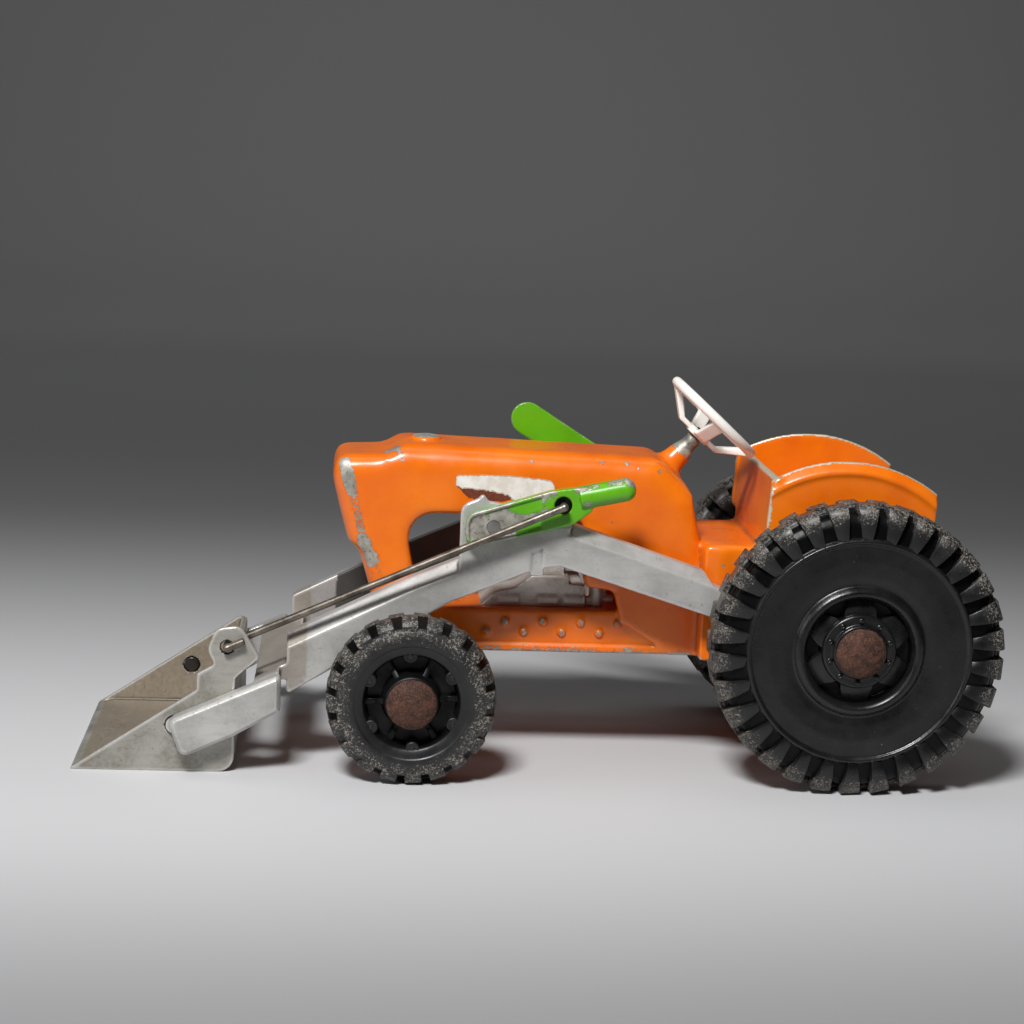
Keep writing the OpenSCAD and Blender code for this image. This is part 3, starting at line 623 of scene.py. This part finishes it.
def body_zone(co):
    """Where the orange paint is worn, as a share added to the wear."""
    p = seen_from_axle(co)
    x, y, z = p.T
    zone = np.full(len(co), SOUND_PAINT)
    for line in WORN_NOSE + WORN_SEAT + WORN_COLUMN:
        zone += along(p, *line)
    zone += around(p, CHIPS)
    # Fender edges are worn to a thin bright line
    arc = np.hypot(x - FENDER_ARC[0], z - FENDER_ARC[1])
    zone[(x > -30) & (arc > FENDER_ARC[2] - 1.0)] += 1.15
    # The lip along the chassis rail
    zone[(np.abs(y) > 17.8) & (z < 39) & (x > -130) & (x < -45)] += 0.55
    return zone


def body_soot(co):
    """The column is dark bare metal between its foot and the steering wheel."""
    return np.clip(along(seen_from_axle(co), (-49, 0, 104.5), (-46, 0, 108), 4.5, 0.75), 0, 0.75)


def seat_polish_and_highlight(co):
    """Worn edges round the seat are polished, and their bare metal is lightened as a painted highlight."""
    x, _, z = seen_from_axle(co).T
    return np.where((x > -31) & (z > 76), 1.0, 0.0)


def body_softness(co):
    """The hood, nose and rear housing have large soft edges."""
    x, y, z = seen_from_axle(co).T
    hood = (x < -50) & (z > 56) & (np.abs(y) > 8)
    top = (x < -50) & (z > 86) & (x > -172)
    housing = (x > -50) & (z > 60) & (z < 76.5) & (np.abs(y) > 20)
    return np.where(hood | top, 1.0, np.where(housing, 0.5, 0.05))


orange = painted("orange_enamel", (0.86, 0.185, 0.003), (0.76, 0.135, 0.002), 2.4)
green = painted("green_enamel", (0.125, 0.44, 0.006), (0.085, 0.33, 0.004), 2.6)
silver = bare_casting("bare_die_casting", (0.54, 0.53, 0.51), (0.42, 0.41, 0.395),
                      (0.27, 0.25, 0.22), 0.42, 0.25)
bucket_metal = bare_casting("stained_die_casting", (0.40, 0.385, 0.345), (0.29, 0.28, 0.245),
                            (0.17, 0.145, 0.11), 0.42, 0.6)
engine_metal = bare_casting("engine_die_casting", (0.66, 0.615, 0.57), (0.52, 0.48, 0.43),
                            (0.26, 0.22, 0.17), 0.45)
rear_rubber = rubber("rear_rubber", dust_from=38.5, dust_gain=0.205, shine=0.24, speck_mm=0.55)
front_rubber = rubber("front_rubber", dust_from=16.5, dust_gain=0.185, shine=0.34, speck_mm=0.7)
rust = rusty("rusted_cap")
wire = old_steel("old_wire", (0.28, 0.25, 0.21), (0.10, 0.085, 0.07), (0.30, 0.20, 0.10))
rivet_steel = old_steel("rivet_steel", (0.42, 0.41, 0.40), (0.25, 0.24, 0.23), (0.22, 0.15, 0.10))
plastic = white_plastic("white_plastic")
paper = old_paper("torn_label")

body = cast_copy("body_casting", voxel_mm=0.52, rounds=4, keep=0.5, wobble_mm=0.08,
                 soft=(60, body_softness))
finish_casting(body, orange, body_zone(coords(body.data)), body_soot(coords(body.data)),
               seat_polish_and_highlight(coords(body.data)))


def stud_painted_shade(co, reach):
    """Near-black painted shade round the two studs that the bucket turns on."""
    p = seen_from_axle(co)
    inside = np.abs(p[:, 1]) < BRACKET_INNER
    return np.where((away_from(p, BUCKET_PIVOT) < reach) & inside, 1.0, 0.0)


def arm_painted_shade(co):
    """Painted shade round the bucket's studs and over the inner face of the far arm, which lies in shadow."""
    x, y, _ = seen_from_axle(co).T
    inner = (y > 20) & (y < FAR_ARM_INNER) & (x > -165) & (x < -60)
    return np.maximum(stud_painted_shade(co, 2.9), np.where(inner, 0.9, 0.0))


def arm_stain(co):
    """The cross member in front is stained tan."""
    x, y, _ = seen_from_axle(co).T
    inside = (np.abs(y) < 41) & (x < -174)
    return np.where(inside, 0.55, 0.0)


def open_bore(mesh, radius):
    """Keeps a bore on the rear axle's line clear of the axle."""
    co = coords(mesh)
    dx = co[:, 0] - REAR_AXLE.x
    dz = co[:, 2] - REAR_AXLE.z
    away = np.hypot(dx, dz)
    near = (away < radius * MM) & (away > 0)
    grow = np.where(near, radius * MM / np.where(near, away, 1.0), 1.0)
    co[:, 0] = REAR_AXLE.x + dx * grow
    co[:, 2] = REAR_AXLE.z + dz * grow
    set_coords(mesh, co)


arms = cast_copy("loader_frame", voxel_mm=0.42, rounds=2, keep=0.5, wobble_mm=0.06)
open_bore(arms.data, 2.75)
finish_casting(arms, silver, arm_stain(coords(arms.data)), arm_painted_shade(coords(arms.data)))


def bucket_stain(co):
    """The inside of the bucket is stained tan."""
    x, y, z = seen_from_axle(co).T
    return np.where((np.abs(y) < BUCKET_INNER) & (z > 1.2) & (x < -196.5), 0.8, 0.0)


def bucket_painted_shade(co):
    """Painted shade round the studs and in the rod's hole."""
    p = seen_from_axle(co)
    hole = (away_from(p, ROD_PIVOT) < 2.4) & (p[:, 1] < 0)
    return np.maximum(stud_painted_shade(co, 3.1), np.where(hole, 1.0, 0.0))


scoop = cast_copy("bucket", voxel_mm=0.40, rounds=2, keep=0.5, wobble_mm=0.06)
finish_casting(scoop, bucket_metal, bucket_stain(coords(scoop.data)), bucket_painted_shade(coords(scoop.data)))

engine = cast_copy("engine_block", voxel_mm=0.40, rounds=3, keep=0.7, wobble_mm=0.05)
finish_casting(engine, engine_metal)

wheel = cast_copy("steering_wheel", voxel_mm=0.26, rounds=6, keep=0.6)
finish_casting(wheel, plastic)

rod = cast_copy("tilt_rod", voxel_mm=0.24, rounds=8, keep=1.0)
finish_casting(rod, wire)


# Worn lines on the near lever's face as (start, end, reach, amount), each point (x, z)
WORN_LEVER = (
    ((-119.0, 81), (-113, 83.5), 7.0, 1.7),
    ((-112, 81.5), (-100, 86), 3.0, 1.45),
    ((-101, 90.5), (-98.2, 92), 3.0, 1.35),
    ((-122, 79), (-122, 87), 3.4, 1.5),
    ((-121, 87.5), (-101, 93), 2.0, 1.3),
    ((-118, 76.5), (-110, 78.5), 2.4, 1.2),
    ((-89.5, 93.5), (-84.5, 95), 3.0, 1.2),
)
WORN_HANDLE = ((-80, -40.5, 97), (-72, -40, 98), 3.4, 1.25)
LEVER_CHIPS = ((-70.5, -38, 94.8, 5.6, 1.6), (-86.5, -41.5, 89.5, 2.6, 1.2))
SOUND_LEVER = -0.60


def lever_zone(co):
    """The near lever is bare on the left part of its face and on the end of its handle."""
    p = seen_from_axle(co)
    zone = np.full(len(co), SOUND_LEVER)
    for start, end, reach, amount in WORN_LEVER:
        zone += along(p, (start[0], LEVER_FACE, start[1]), (end[0], LEVER_FACE, end[1]), reach, amount)
    zone += along(p, *WORN_HANDLE)
    zone += around(p, LEVER_CHIPS)
    return zone


def lever_hole_painted_shade(co):
    """Painted shade inside the rod's hole."""
    p = seen_from_axle(co)
    hole = away_from(p, LEVER_HOLE) < 2.95
    return np.where(hole & (p[:, 1] > LEVER_FACE + 0.35), 1.0, 0.0)


lever = cast_copy("tilt_lever", voxel_mm=0.26, rounds=3, keep=0.7)
finish_casting(lever, green, lever_zone(coords(lever.data)), lever_hole_painted_shade(coords(lever.data)))


def lever_hole_shade_disc():
    """A near-black disc of painted shade that closes the back of the hole in the tilt lever."""
    radius = 3.0
    thick = 0.5
    lever_back = -36.4
    verts, faces = lathe([(AXIS, 0.0), (radius, 0.0), (radius, thick), (AXIS, thick)], 32)
    mesh = mesh_from("lever_hole_shade_disc", verts, faces)
    turned = Matrix.Rotation(math.pi / 2, 4, "X")
    at = Vector((AXLE_X + LEVER_HOLE[0], lever_back, LEVER_HOLE[1])) * MM
    mesh.transform(Matrix.Translation(at) @ turned)
    obj = add_object("lever_hole_shade_disc", mesh)
    finish_casting(obj, green, dark_metal_and_shade=np.ones(len(mesh.vertices)))
    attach(obj, BODY_OF["tilt_lever"])


lever_hole_shade_disc()

strip = cast_copy("lift_lever", voxel_mm=0.30, rounds=3, keep=0.7)
finish_casting(strip, green, np.zeros(len(strip.data.vertices)))

for cap in ("rear_axle_cap_left", "rear_axle_cap_right", "front_axle_cap_left", "front_axle_cap_right"):
    piece = cast_copy(cap, voxel_mm=0.30, rounds=4, keep=1.0)
    wobble(piece.data, depth_mm=0.16, size_mm=1.6, seed=3)
    finish_casting(piece, rust)


def domes(name, profile, spots, wear):
    """Small round domes cast on the body; spots are (x, y, z, axis sign or 0 for up)."""
    verts, faces = lathe(rounded_profile(profile, 0.5, 3), 20)
    source = mesh_from("dome", verts, faces)
    parts = []
    for x, y, z, sign in spots:
        turn = Matrix.Rotation(-sign * math.pi / 2, 4, "X")
        parts.append((source, Matrix.Translation(Vector((x + AXLE_X, y, z)) * MM) @ turn, 1.0))
    mesh = joined(name, parts)
    obj = add_object(name, mesh)
    smooth_shade(mesh, 60)
    finish_casting(obj, orange, wear(coords(mesh)))
    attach(obj, BODY_OF["body_casting"])


BUMPS_IN_ROW = 4
BUMP_PITCH = 12.4
BUMP_FIRST_X = -109.6
BUMP_ROWS = (46.0, 42.6)
RAIL_HALF = 17.5
BUMP_Y = RAIL_HALF - 0.15
CAP_X = -137.0
CAP_Y = -1.5
CAP_Z = 103.2


def rail_bumps():
    """Two staggered rows of bumps on each chassis rail."""
    spots = []
    for sign in (-1, 1):
        for i in range(BUMPS_IN_ROW):
            x = BUMP_FIRST_X + BUMP_PITCH * i
            spots.append((x, sign * BUMP_Y, BUMP_ROWS[0], sign))
            spots.append((x - BUMP_PITCH / 2, sign * BUMP_Y, BUMP_ROWS[1], sign))
    profile = [(AXIS, -0.6), (2.2, -0.6), (2.1, 0.0), (1.6, 0.35), (1.2, 1.0), (0.6, 1.25), (AXIS, 1.3)]

    def wear(co):
        proud = np.abs(co[:, 1]) / MM - (RAIL_HALF + 0.5)
        return -0.42 + 0.95 * np.clip(proud / 0.4, 0, 1)

    domes("rail_bumps", profile, spots, wear)


def filler_cap():
    """Round cap on the hood, worn bare on top."""
    profile = [(AXIS, -2.5), (5.6, -2.5), (5.5, -0.1), (5.1, 0.75), (4.0, 1.35), (2.2, 1.75), (AXIS, 1.85)]

    def wear(co):
        x, y, _ = seen_from_axle(co).T
        return -0.40 + 1.6 * np.clip((5.0 - np.hypot(x - CAP_X, y - CAP_Y)) / 0.8, 0, 1)

    domes("filler_cap", profile, [(CAP_X, CAP_Y, CAP_Z, 0)], wear)


rail_bumps()
filler_cap()


# -------------------------------------------------------------------- the wheels

REAR_R = 47.0
REAR_HALF = 8.5
REAR_BORE = 2.6
REAR_LUGS = 30
REAR_SPOKES = 6
REAR_BOLTS = 10
FRONT_R = 27.0
FRONT_HALF = 8.0
FRONT_BORE = 2.1
FRONT_BLOCKS = 20
FRONT_BOSSES = 6
# Angle of the first lug, spoke or block, which is the top of a left wheel
TOP = math.pi / 2
OTHER_SIDE = Matrix.Diagonal((1, 1, -1, 1))


def polar(radius, angle, height):
    return (radius * math.cos(angle), radius * math.sin(angle), height)


def wedge(angle, rows, skew=0.0):
    """Block through rows of (radius, half width in mm, low height, high height)."""
    sections = []
    for radius, half, low, high in rows:
        a = half / radius
        sections.append([
            polar(radius, angle - a, low), polar(radius, angle + a, low),
            polar(radius, angle + a, high - skew), polar(radius, angle - a, high + skew)])
    return block(sections)


def rear_lug(angle, chance):
    """One tread lug, from the sidewall ridge to the middle of the tread."""
    out = REAR_R - chance.uniform(0.0, 0.2)
    half = 3.15 + chance.uniform(-0.12, 0.12)
    side = REAR_HALF
    rows = [
        (35.6, 1.55, -0.5, side - 0.75),
        (38.0, 1.95, -0.5, side - 0.15),
        (41.5, 2.5, -0.5, side + 0.0),
        (44.4, 2.9, -0.5, side - 0.5),
        (46.0, half, -0.5, side - 1.5),
        (out, half, -0.5, side - 3.0),
    ]
    verts, faces = wedge(angle, rows, 0.5)
    return bevelled("lug", verts, faces, 0.22, 2, 30)


def tyre_outer(mesh):
    """Distance from the wheel's axis, for the dust."""
    co = coords(mesh)
    set_value(mesh, "outer", np.hypot(co[:, 0], co[:, 1]) / MM)


def rear_wheel_mesh():
    """Dished wheel with staggered lugs, six spokes and a ring of bolts."""
    h = REAR_HALF
    bore = REAR_BORE
    carcass = [
        (bore, -h + 2), (12, -h + 2.5), (20, -h + 1), (33, -h + 0.3),
        (35.4, -h + 0.5), (41, -h + 1.8), (43.8, -h + 3.6), (44.0, -2.2), (45.9, -1.4),
        (45.9, 1.4), (44.0, 2.2), (43.8, h - 3.6),
        (41.2, h - 2.0), (36.4, h - 1.3), (35.8, h - 0.25), (34.9, h - 0.25), (34.3, h - 1.0),
        (29, h - 0.8), (24, h - 1.3), (21.2, h - 2.0), (20.4, h - 0.9), (19.4, h - 0.1),
        (18.3, h - 0.1), (17.4, h - 0.9), (16.8, h - 2.6), (16.6, h - 5.6),
        (12.1, h - 5.6), (11.9, h - 1.9), (11.2, h - 1.3), (8.8, h - 1.4),
        (8.4, h - 0.2), (bore, h - 0.1),
    ]
    verts, faces = lathe(rounded_profile(carcass, 0.9, 3), REAR_STEPS)
    radius = np.array([math.hypot(v.x, v.y) for v in verts]) / MM
    height = np.array([v.z for v in verts]) / MM
    window = (radius > 12.0) & (radius < 16.9) & (height > 0) & (height < h - 2.8)
    groove = (radius > 36.3) & (radius < 45.5)
    # Painted shade: the dish's windows and the groove between the lugs are marked near-black
    parts = [(mesh_from("carcass", verts, faces), Matrix(), np.where(window | groove, 0.0, 1.0))]
    chance = random.Random(11)
    step = 2 * math.pi / REAR_LUGS
    for i in range(REAR_LUGS):
        parts.append((rear_lug(step * i + TOP, chance), Matrix(), 1.0))
        parts.append((rear_lug(step * (i + 0.5) + TOP, chance), OTHER_SIDE, 1.0))
    for i in range(REAR_SPOKES):
        angle = TOP + 2 * math.pi * i / REAR_SPOKES
        verts, faces = wedge(angle, [
            (11.0, 5.6, h - 7, h - 2.5), (13.5, 5.2, h - 7, h - 3.1), (17.2, 4.0, h - 7, h - 4.2)])
        parts.append((bevelled("spoke", verts, faces, 0.35), Matrix(), 1.0))
    profile = rounded_profile([(AXIS, 0), (1.1, 0), (0.95, 0.75), (AXIS, 1.05)], 0.4, 3)
    bolt, bolt_faces = lathe(profile, 14)
    for i in range(REAR_BOLTS):
        angle = 2 * math.pi * (i + 0.5) / REAR_BOLTS
        spot = Matrix.Translation(Vector(polar(9.95, angle, h - 1.65)) * MM)
        parts.append((mesh_from("bolt", bolt, bolt_faces), spot, 1.0))
    return joined("rear_wheel", parts)


def front_block(angle, chance):
    """One shoulder block of a front tyre; the gaps between blocks are its notches."""
    half = 2.55 + chance.uniform(-0.10, 0.10)
    side = FRONT_HALF
    rows = [
        (22.6, half - 0.2, -0.5, side - 0.75),
        (24.6, half, -0.5, side - 0.9),
        (26.1, half, -0.5, side - 2.1),
        (26.7, half, -0.5, side - 3.6),
        (FRONT_R - 0.05, half, -0.5, side - 5.4),
    ]
    verts, faces = wedge(angle, rows)
    return bevelled("tread_block", verts, faces, 0.35, 2, 30)


def front_wheel_mesh():
    """Balloon tyre with shoulder blocks on a rim with bosses and ribs."""
    h = FRONT_HALF
    bore = FRONT_BORE
    carcass = [
        (bore, -h + 1), (10, -h + 2), (15, -h + 0.6), (20, -h + 0.1),
        (23.2, -h + 0.9), (24.6, -h + 3.2), (25.6, -h + 5.0), (26.6, 0), (25.6, h - 5.0),
        (24.4, h - 3.1), (23.2, h - 0.75), (20.0, h - 0.15), (18.4, h - 0.45), (18.0, h - 0.75),
        (16.4, h - 1.1), (15.2, h - 1.6), (14.8, h - 2.6), (14.4, h - 7.6), (9.2, h - 7.6),
        (8.8, h - 1.8), (8.3, h - 0.3), (bore, h - 0.1),
    ]
    verts, faces = lathe(rounded_profile(carcass, 0.8, 3), FRONT_STEPS)
    radius = np.array([math.hypot(v.x, v.y) for v in verts]) / MM
    # Painted shade: the rim's inside is darker and the tyre's shoulder between the blocks near-black
    depth = np.where(radius < 15.4, 0.4, 1.0)
    parts = [(mesh_from("carcass", verts, faces), Matrix(), np.where(radius > 23.6, 0.0, depth))]
    chance = random.Random(7)
    step = 2 * math.pi / FRONT_BLOCKS
    for i in range(FRONT_BLOCKS):
        parts.append((front_block(step * i + TOP, chance), Matrix(), 1.0))
        parts.append((front_block(step * (i + 0.5) + TOP, chance), OTHER_SIDE, 1.0))
    # Round bosses on the rim's inner edge, each with a small dimple ring
    profile = [(AXIS, -6), (2.2, -6), (2.2, 0), (1.8, 0.25), (0.9, 0.05), (AXIS, 0.45)]
    boss, boss_faces = lathe(rounded_profile(profile, 0.3, 3), 24)
    for i in range(FRONT_BOSSES):
        angle = TOP + 2 * math.pi * i / FRONT_BOSSES
        spot = Matrix.Translation(Vector(polar(14.9, angle, h - 1.7)) * MM)
        # The bosses take a little painted shade, the ribs between them much more
        parts.append((mesh_from("boss", boss, boss_faces), spot, 0.8))
        verts, faces = wedge(angle + math.pi / FRONT_BOSSES, [
            (8.0, 0.9, h - 8, h - 3.0), (11.5, 0.9, h - 8, h - 5.4), (14.7, 1.1, h - 8, h - 5.0)])
        parts.append((bevelled("rib", verts, faces, 0.25), Matrix(), 0.3))
    return joined("front_wheel", parts)


def mount_wheel(node, source, material, pin, turn):
    """Places a copy of a wheel mesh on its axle, turned by an angle, for the CAD wheel."""
    low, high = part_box(node)
    centre = (low + high) / 2
    sign = -1 if centre.y < 0 else 1
    mesh = source.copy()
    turned = Matrix.Rotation(-sign * math.pi / 2, 4, "X") @ Matrix.Rotation(turn, 4, "Z")
    mesh.transform(Matrix.Translation(Vector((pin.x, centre.y, pin.z))) @ turned)
    obj = add_object(node + "_moulded", mesh)
    smooth_shade(mesh, 42)
    mesh.materials.append(material)
    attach(obj, BODY_OF[node])
    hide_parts(node)


rear_source = rear_wheel_mesh()
front_source = front_wheel_mesh()
tyre_outer(rear_source)
tyre_outer(front_source)
mount_wheel("rear_wheel_left", rear_source, rear_rubber, REAR_AXLE, turn=0.0)
mount_wheel("rear_wheel_right", rear_source, rear_rubber, REAR_AXLE, turn=0.4)
mount_wheel("front_wheel_left", front_source, front_rubber, FRONT_AXLE, turn=0.05)
mount_wheel("front_wheel_right", front_source, front_rubber, FRONT_AXLE, turn=0.7)


# --------------------------------------------------------------------- the label

# Outlines as (share of the length, height in mm): the top edge, the lower edge of the
# white paper and the lower edge of the whole sheet
LABEL_TOP = ((0, 0.03, 0.5, 0.9, 0.97, 1), (93.6, 94.3, 94.5, 93.6, 93.1, 91.5))
WHITE_LOW = ((0, 0.05, 0.2, 0.4, 0.54, 0.58, 1), (90.6, 90.0, 89.6, 88.9, 87.7, 86.4, 86.4))
SHEET_LOW = ((0, 0.05, 0.12, 0.25, 0.45, 0.54, 0.6, 0.95, 1),
             (90.6, 89.6, 87.2, 86.2, 86.0, 86.6, 86.4, 86.4, 89.5))
# Share of the length behind which no print is left, and the two layers' height in mm
WHITE_FROM = 0.56
PAPER_LIFT = 0.12
PRINT_LIFT = 0.03
LABEL_COLUMNS = 110
LABEL_ROWS = 22


def label():
    """What is left of a torn label on the hood's left side: paper above, old print below."""
    low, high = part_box("hood_label")
    columns = LABEL_COLUMNS
    rows = LABEL_ROWS
    front = []
    prints = []
    torn = []
    for i in range(columns + 1):
        u = i / columns
        x = low.x + (high.x - low.x) * u
        ragged = 0.30 * noise.noise(Vector((u * 20, 0.3, 0))) + 0.20 * noise.noise(Vector((u * 70, 7.3, 0)))
        top = float(np.interp(u, *LABEL_TOP)) + 0.5 * ragged
        edge = float(np.interp(u, *WHITE_LOW)) + 0.45 * noise.noise(Vector((u * 26, 3.3, 0)))
        bottom = float(np.interp(u, *SHEET_LOW)) + ragged
        for j in range(rows + 1):
            z = bottom + (top - bottom) * j / rows
            white = z > edge or u > WHITE_FROM
            lift = PAPER_LIFT if white else PRINT_LIFT
            front.append(Vector((x, low.y - lift * MM, z * MM)))
            prints.append(0.0 if white else 1.0)
            torn.append(max(0.0, 1 - min(top - z, abs(z - edge), u * 32 + 0.2) / 0.9))
    count = len(front)
    back = [Vector((p.x, high.y + 0.2 * MM, p.z)) for p in front]
    faces = []
    step = rows + 1
    for i in range(columns):
        for j in range(rows):
            a = i * step + j
            quad = (a, a + step, a + step + 1, a + 1)
            faces.append(quad)
            faces.append(tuple(count + k for k in reversed(quad)))
    ring = [i * step for i in range(columns + 1)]
    ring += [columns * step + j for j in range(1, rows + 1)]
    ring += [i * step + rows for i in range(columns - 1, -1, -1)]
    ring += [j for j in range(rows - 1, 0, -1)]
    for k, here in enumerate(ring):
        there = ring[(k + 1) % len(ring)]
        faces.append((there, here, count + here, count + there))
    mesh = mesh_from("label", front + back, faces)
    set_value(mesh, "print", prints + prints)
    set_value(mesh, "torn", torn + torn)
    mesh.materials.append(paper)
    smooth_shade(mesh, 50)
    obj = add_object("hood_label_paper", mesh)
    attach(obj, BODY_OF["hood_label"])
    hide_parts("hood_label")


label()

# ---------------------------------------------- CAD nodes that keep their shape

KEPT = {
    "rear_axle": wire, "front_axle": wire, "engine_rivet": rivet_steel,
    "tilt_lever_pin": rivet_steel, "lift_lever_rivet": rivet_steel,
}
for node_name, material in KEPT.items():
    node = NODES[node_name]
    node.data.materials.clear()
    node.data.materials.append(material)

# ------------------------------------------------------------- floor and lights

# In metres: the floor runs from its front edge to the foot of the curve
SWEEP_FRONT = -4.0
SWEEP_Y = 1.9
SWEEP_R = 1.2
SWEEP_TOP = 6.0
SWEEP_HALF = 5.0
SWEEP_STEPS = 12
FLOOR_GREY = (0.56, 0.56, 0.57)


def studio_sweep():
    """Pale floor that curves up into a grey backdrop, with light and shade painted into its colour."""
    line = [(SWEEP_FRONT, 0.0)]
    line += [(-0.8 + 0.25 * i, 0.0) for i in range(11)]
    for i in range(SWEEP_STEPS + 1):
        a = math.radians(90 * i / SWEEP_STEPS)
        line.append((SWEEP_Y + SWEEP_R * math.sin(a), SWEEP_R - SWEEP_R * math.cos(a)))
    line.append((SWEEP_Y + SWEEP_R, SWEEP_TOP))
    verts = []
    for y, z in line:
        verts += [(-SWEEP_HALF, y, z), (SWEEP_HALF, y, z)]
    faces = [(2 * i, 2 * i + 1, 2 * i + 3, 2 * i + 2) for i in range(len(line) - 1)]
    mesh = mesh_from("studio_sweep", verts, faces)
    smooth_shade(mesh)
    sweep = add_object("studio_sweep", mesh)
    look = Look("sweep_painted_light")
    split = look.tree.nodes.new("ShaderNodeSeparateXYZ")
    look.feed(split.inputs[0], look.place)
    depth = split.outputs["Y"]
    # Painted light: the colour is brightest under the toy, as a pool of light, darker towards the viewer and
    # behind, grey on the wall
    front = look.ramp(depth, -0.28, -0.07, 0.42, 1.0)
    back = look.ramp(depth, -0.02, 0.48, 1.0, 0.30)
    wall_painted_light = look.ramp(depth, 0.55, 1.5, 1.0, 2.6)
    level = look.times(look.times(front, back), wall_painted_light)
    look.set(Base_Color=look.mix(level, (0.0, 0.0, 0.0), FLOOR_GREY), Roughness=0.6,
             Specular_IOR_Level=0.2)
    mesh.materials.append(look.material)


# Name, place, target and size in metres, and power in watts
LIGHTS = (
    ("key", (-0.28, -0.72, 0.93), (0.0, 0.0, 0.03), (0.27, 0.20), 17.0),
    ("left_fill", (-0.95, -0.45, 0.40), (0.0, 0.0, 0.05), (0.4, 0.4), 1.4),
    ("top", (0.0, 0.10, 0.95), (0.0, 0.0, 0.05), (0.9, 0.35), 0.9),
    ("backdrop", (0.1, 1.5, 1.0), (0.1, 3.0, 0.55), (1.6, 0.5), 2.2),
)
SKY_GREY = (0.34, 0.345, 0.35, 1)
SKY_STRENGTH = 0.07


def area_light(name, place, target, size, power):
    """A soft rectangular lamp turned to its target."""
    data = bpy.data.lights.new(name, "AREA")
    data.shape = "RECTANGLE"
    data.size = size[0]
    data.size_y = size[1]
    data.energy = power
    lamp = bpy.data.objects.new(name, data)
    bpy.context.scene.collection.objects.link(lamp)
    lamp.location = place
    lamp.rotation_euler = (Vector(target) - Vector(place)).to_track_quat("-Z", "Y").to_euler()


def studio_world():
    """Weak even light from all sides."""
    world = bpy.data.worlds.new("studio")
    world.use_nodes = True
    sky = world.node_tree.nodes["Background"].inputs
    sky["Color"].default_value = SKY_GREY
    sky["Strength"].default_value = SKY_STRENGTH
    bpy.context.scene.world = world
    bpy.context.scene.view_settings.view_transform = "Standard"


studio_sweep()
for light in LIGHTS:
    area_light(*light)
studio_world()


# --------------------------------------------------------------------- camera

# Place in mm from the rear axle's foot, and angles in degrees
CAMERA_AT = (-163.3, -753.0, 208.1)
CAMERA_YAW = 4.24
CAMERA_PITCH = 9.68
CAMERA_ROLL = 2.29
CAMERA_LENS = 80.9
CAMERA_SENSOR = 36.0


def photo_camera():
    """A long lens to the toy's left, a little ahead of its middle, looking slightly down."""
    yaw = math.radians(CAMERA_YAW)
    pitch = math.radians(CAMERA_PITCH)
    roll = math.radians(CAMERA_ROLL)
    level = math.cos(pitch)
    forward = Vector((math.sin(yaw) * level, math.cos(yaw) * level, -math.sin(pitch)))
    right = Vector((math.cos(yaw), -math.sin(yaw), 0))
    up = right.cross(forward)
    right_rolled = right * math.cos(roll) + up * math.sin(roll)
    up_rolled = up * math.cos(roll) - right * math.sin(roll)
    data = bpy.data.cameras.new("photo_camera")
    data.lens = CAMERA_LENS
    data.sensor_width = CAMERA_SENSOR
    camera = bpy.data.objects.new("photo_camera", data)
    bpy.context.scene.collection.objects.link(camera)
    rows = Matrix((right_rolled, up_rolled, -forward)).transposed().to_4x4()
    rows.translation = Vector((REAR_AXLE.x, 0, 0)) + Vector(CAMERA_AT) * MM
    camera.matrix_world = rows
    bpy.context.scene.camera = camera


photo_camera()
